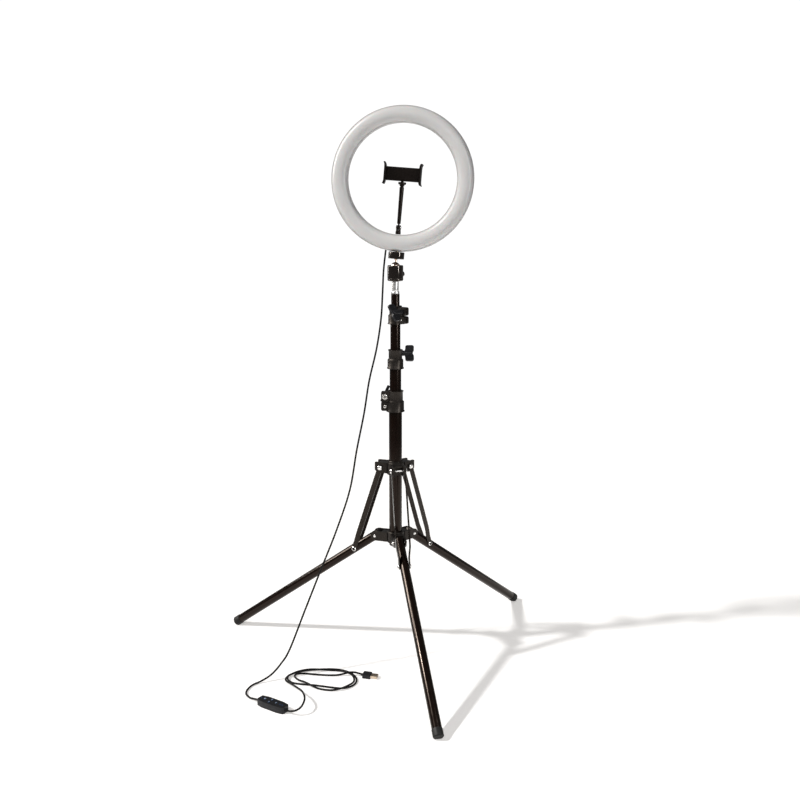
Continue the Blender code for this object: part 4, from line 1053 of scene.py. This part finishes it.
def button_marks(place, body, name):
    """A small generic sign on each button: a ring, a plus, a minus and a pair of dots."""
    if name == "power":
        marks = [lathe([(1.6, 0), (1.6, 0.08), (0.9, 0.08), (0.9, 0)], 24, closed=True, edge=0)]
    elif name == "up":
        marks = [join(slab((-1.5, -0.35, 0), (1.5, 0.35, 0.08)), slab((-0.35, -1.5, 0), (0.35, 1.5, 0.08)))]
    elif name == "down":
        marks = [slab((-1.5, -0.35, 0), (1.5, 0.35, 0.08))]
    else:
        marks = [moved(rod(0.6, 0, 0.08, 16), at(x, 0, 0)) for x in (-0.8, 0.8)]
    for number, mark in enumerate(marks):
        label = f"button_{name}_mark_{number + 1}"
        show(mark, label, "button_plastic", body, place @ at(0, 0, BUTTON_RISE), look="mark_light")


def dimmer():
    along = centre("button_colour") - centre("button_power")
    along.z = 0.0
    along.normalize()
    power = centre("button_power")
    power.z = 0.0
    here = basis(along, Vector((0, 0, 1)), power - along * POWER_X * MM)

    tray = prism(dimmer_outline(), 0.05, DIMMER_SPLIT)
    cut(tray, prism(dimmer_outline(1.8), 1.6, DIMMER_SPLIT + 5))
    show(tray, "dimmer_base_shown", "black_knob_plastic", "base", here, ["dimmer_base"], edge=0.5)

    cover = prism(dimmer_outline(), DIMMER_SPLIT + GAP, DIMMER_TOP)
    cut(cover, prism(dimmer_outline(1.8), DIMMER_SPLIT - 5, DIMMER_TOP - 1.6))
    inverse = here.inverted()
    for name in ("power", "up", "down", "colour"):
        middle = inverse @ centre(f"button_{name}")
        place = here @ Matrix.Translation((middle.x, middle.y, DIMMER_TOP * MM))
        hole = rod(BUTTON_RADIUS + GAP, DIMMER_TOP - 5, DIMMER_TOP + 5)
        cut(cover, moved(hole, Matrix.Translation((middle.x, middle.y, 0))))
        profile = [(0, -3.2), (BUTTON_RADIUS, -3.2), (BUTTON_RADIUS, BUTTON_RISE - 0.3),
                   (BUTTON_RADIUS - 0.5, BUTTON_RISE), (0, BUTTON_RISE)]
        cap = lathe(profile, 40, edge=0.2)
        show(cap, f"button_{name}_shown", "button_plastic", f"{name}_button", place, [f"button_{name}"])
        button_marks(place, f"{name}_button", name)
    show(cover, "dimmer_cover_shown", "black_knob_plastic", "base", here, ["dimmer_cover"], edge=0.5)
    for number, x in enumerate((-26.0, 17.0, 22.0)):
        lamp = lathe([(0, -0.2), (0.7, -0.2), (0.7, 0.1), (0, 0.25)], 20, edge=0.1)
        lamp_place = here @ at(x, 0, DIMMER_TOP)
        show(lamp, f"dimmer_light_{number + 1}", "button_plastic", "base", lamp_place, look="mark_blue")
    half = DIMMER_SIZE[0] / 2
    profile = [(0, -2.0), (3.4, -2.0), (3.4, 0.6), (2.6, 1.2), (2.3, 3.4), (1.9, 3.6), (0, 3.6)]
    for number, side in enumerate((-1, 1)):
        boot = lathe(profile, 32, edge=0.2)
        boot_place = here @ at(side * half, 0, 5.0) @ turned(side * 90, "Y")
        show(boot, f"dimmer_boot_{number + 1}", "black_knob_plastic", "base", boot_place, look="black_rubber")
    buttons = [f"button_{name}_shown" for name in ("power", "up", "down", "colour")]
    return ["dimmer_base_shown", "dimmer_cover_shown", "dimmer_boot_1", "dimmer_boot_2", *buttons]


def plug():
    along = centre("usb_shell") - centre("usb_plug")
    along.z = 0.0
    along.normalize()
    here = basis(along, Vector((0, 0, 1)), centre("usb_plug"))
    here = here @ at(-PLUG_LENGTH / 2, 0, -PLUG_HEIGHT / 2)

    body = rounded_box((0, -PLUG_HALF_WIDTH, 0.05), (PLUG_LENGTH, PLUG_HALF_WIDTH, PLUG_HEIGHT), 1.8)
    for number in range(4):
        x = 3.0 + number * 1.7
        for side in (-1, 1):
            near, far = sorted((side * (PLUG_HALF_WIDTH - 0.45), side * (PLUG_HALF_WIDTH + 2)))
            cut(body, slab((x, near, -2), (x + 0.7, far, PLUG_HEIGHT + 2)))
    show(body, "usb_plug_shown", "black_knob_plastic", "base", here, ["usb_plug"], edge=0.4)

    width, length, height = SHELL_SIZE
    start = PLUG_LENGTH + 0.02
    middle = PLUG_HEIGHT / 2
    wall = 0.4
    shell = slab((start, -width / 2, middle - height / 2), (start + length, width / 2, middle + height / 2))
    cut(shell, slab((start + 0.4, wall - width / 2, middle - height / 2 + wall),
                    (start + length + 5, width / 2 - wall, middle + height / 2 - wall)))
    for side in (-1, 1):
        window = slab((start + 3.6, side * 2.9 - 1.1, middle), (start + 5.8, side * 2.9 + 1.1, middle + 5))
        cut(shell, window)
    show(shell, "usb_shell_shown", "plug_metal", "base", here, ["usb_shell"], edge=0.12)
    floor_z = middle - height / 2 + wall
    half = width / 2 - wall - 0.1
    tongue_top = floor_z + 1.7
    tongue = slab((start + 0.6, -half, floor_z + 0.05), (start + length - 0.8, half, tongue_top))
    show(tongue, "usb_tongue", "plug_metal", "base", here, edge=0.12, look="tongue")
    for number in range(4):
        y = (number - 1.5) * 2.4
        contact = slab((start + 2.0, y - 0.5, tongue_top), (start + length - 1.2, y + 0.5, tongue_top + 0.12))
        show(contact, f"usb_contact_{number + 1}", "plug_metal", "base", here, look="brass")
    profile = [(0, -1.0), (3.2, -1.0), (3.0, 0.4), (2.5, 1.0), (2.2, 4.0), (1.9, 4.3), (0, 4.3)]
    boot = lathe(profile, 32, edge=0.2)
    boot_place = here @ at(0, 0, middle) @ turned(-90, "Y")
    show(boot, "usb_boot", "black_knob_plastic", "base", boot_place, look="black_rubber")
    return ["usb_plug_shown", "usb_shell_shown", "usb_tongue", "usb_boot"]


# ---------------------------------------------------------------- everything


def carried_over():
    """The nodes that stay as they are get the finished materials too."""
    for row in frame["record"]["subparts"]:
        node = frame["nodes"][row["node"]]
        node.data.materials.clear()
        node.data.materials.append(LOOKS[row["material_slot"]])


carried_over()
tubes()
collar_trim()
legs()
head()
ring_lamp()
phone_holder()
phone_clip()
dimmer_pieces = dimmer()
plug_pieces = plug()
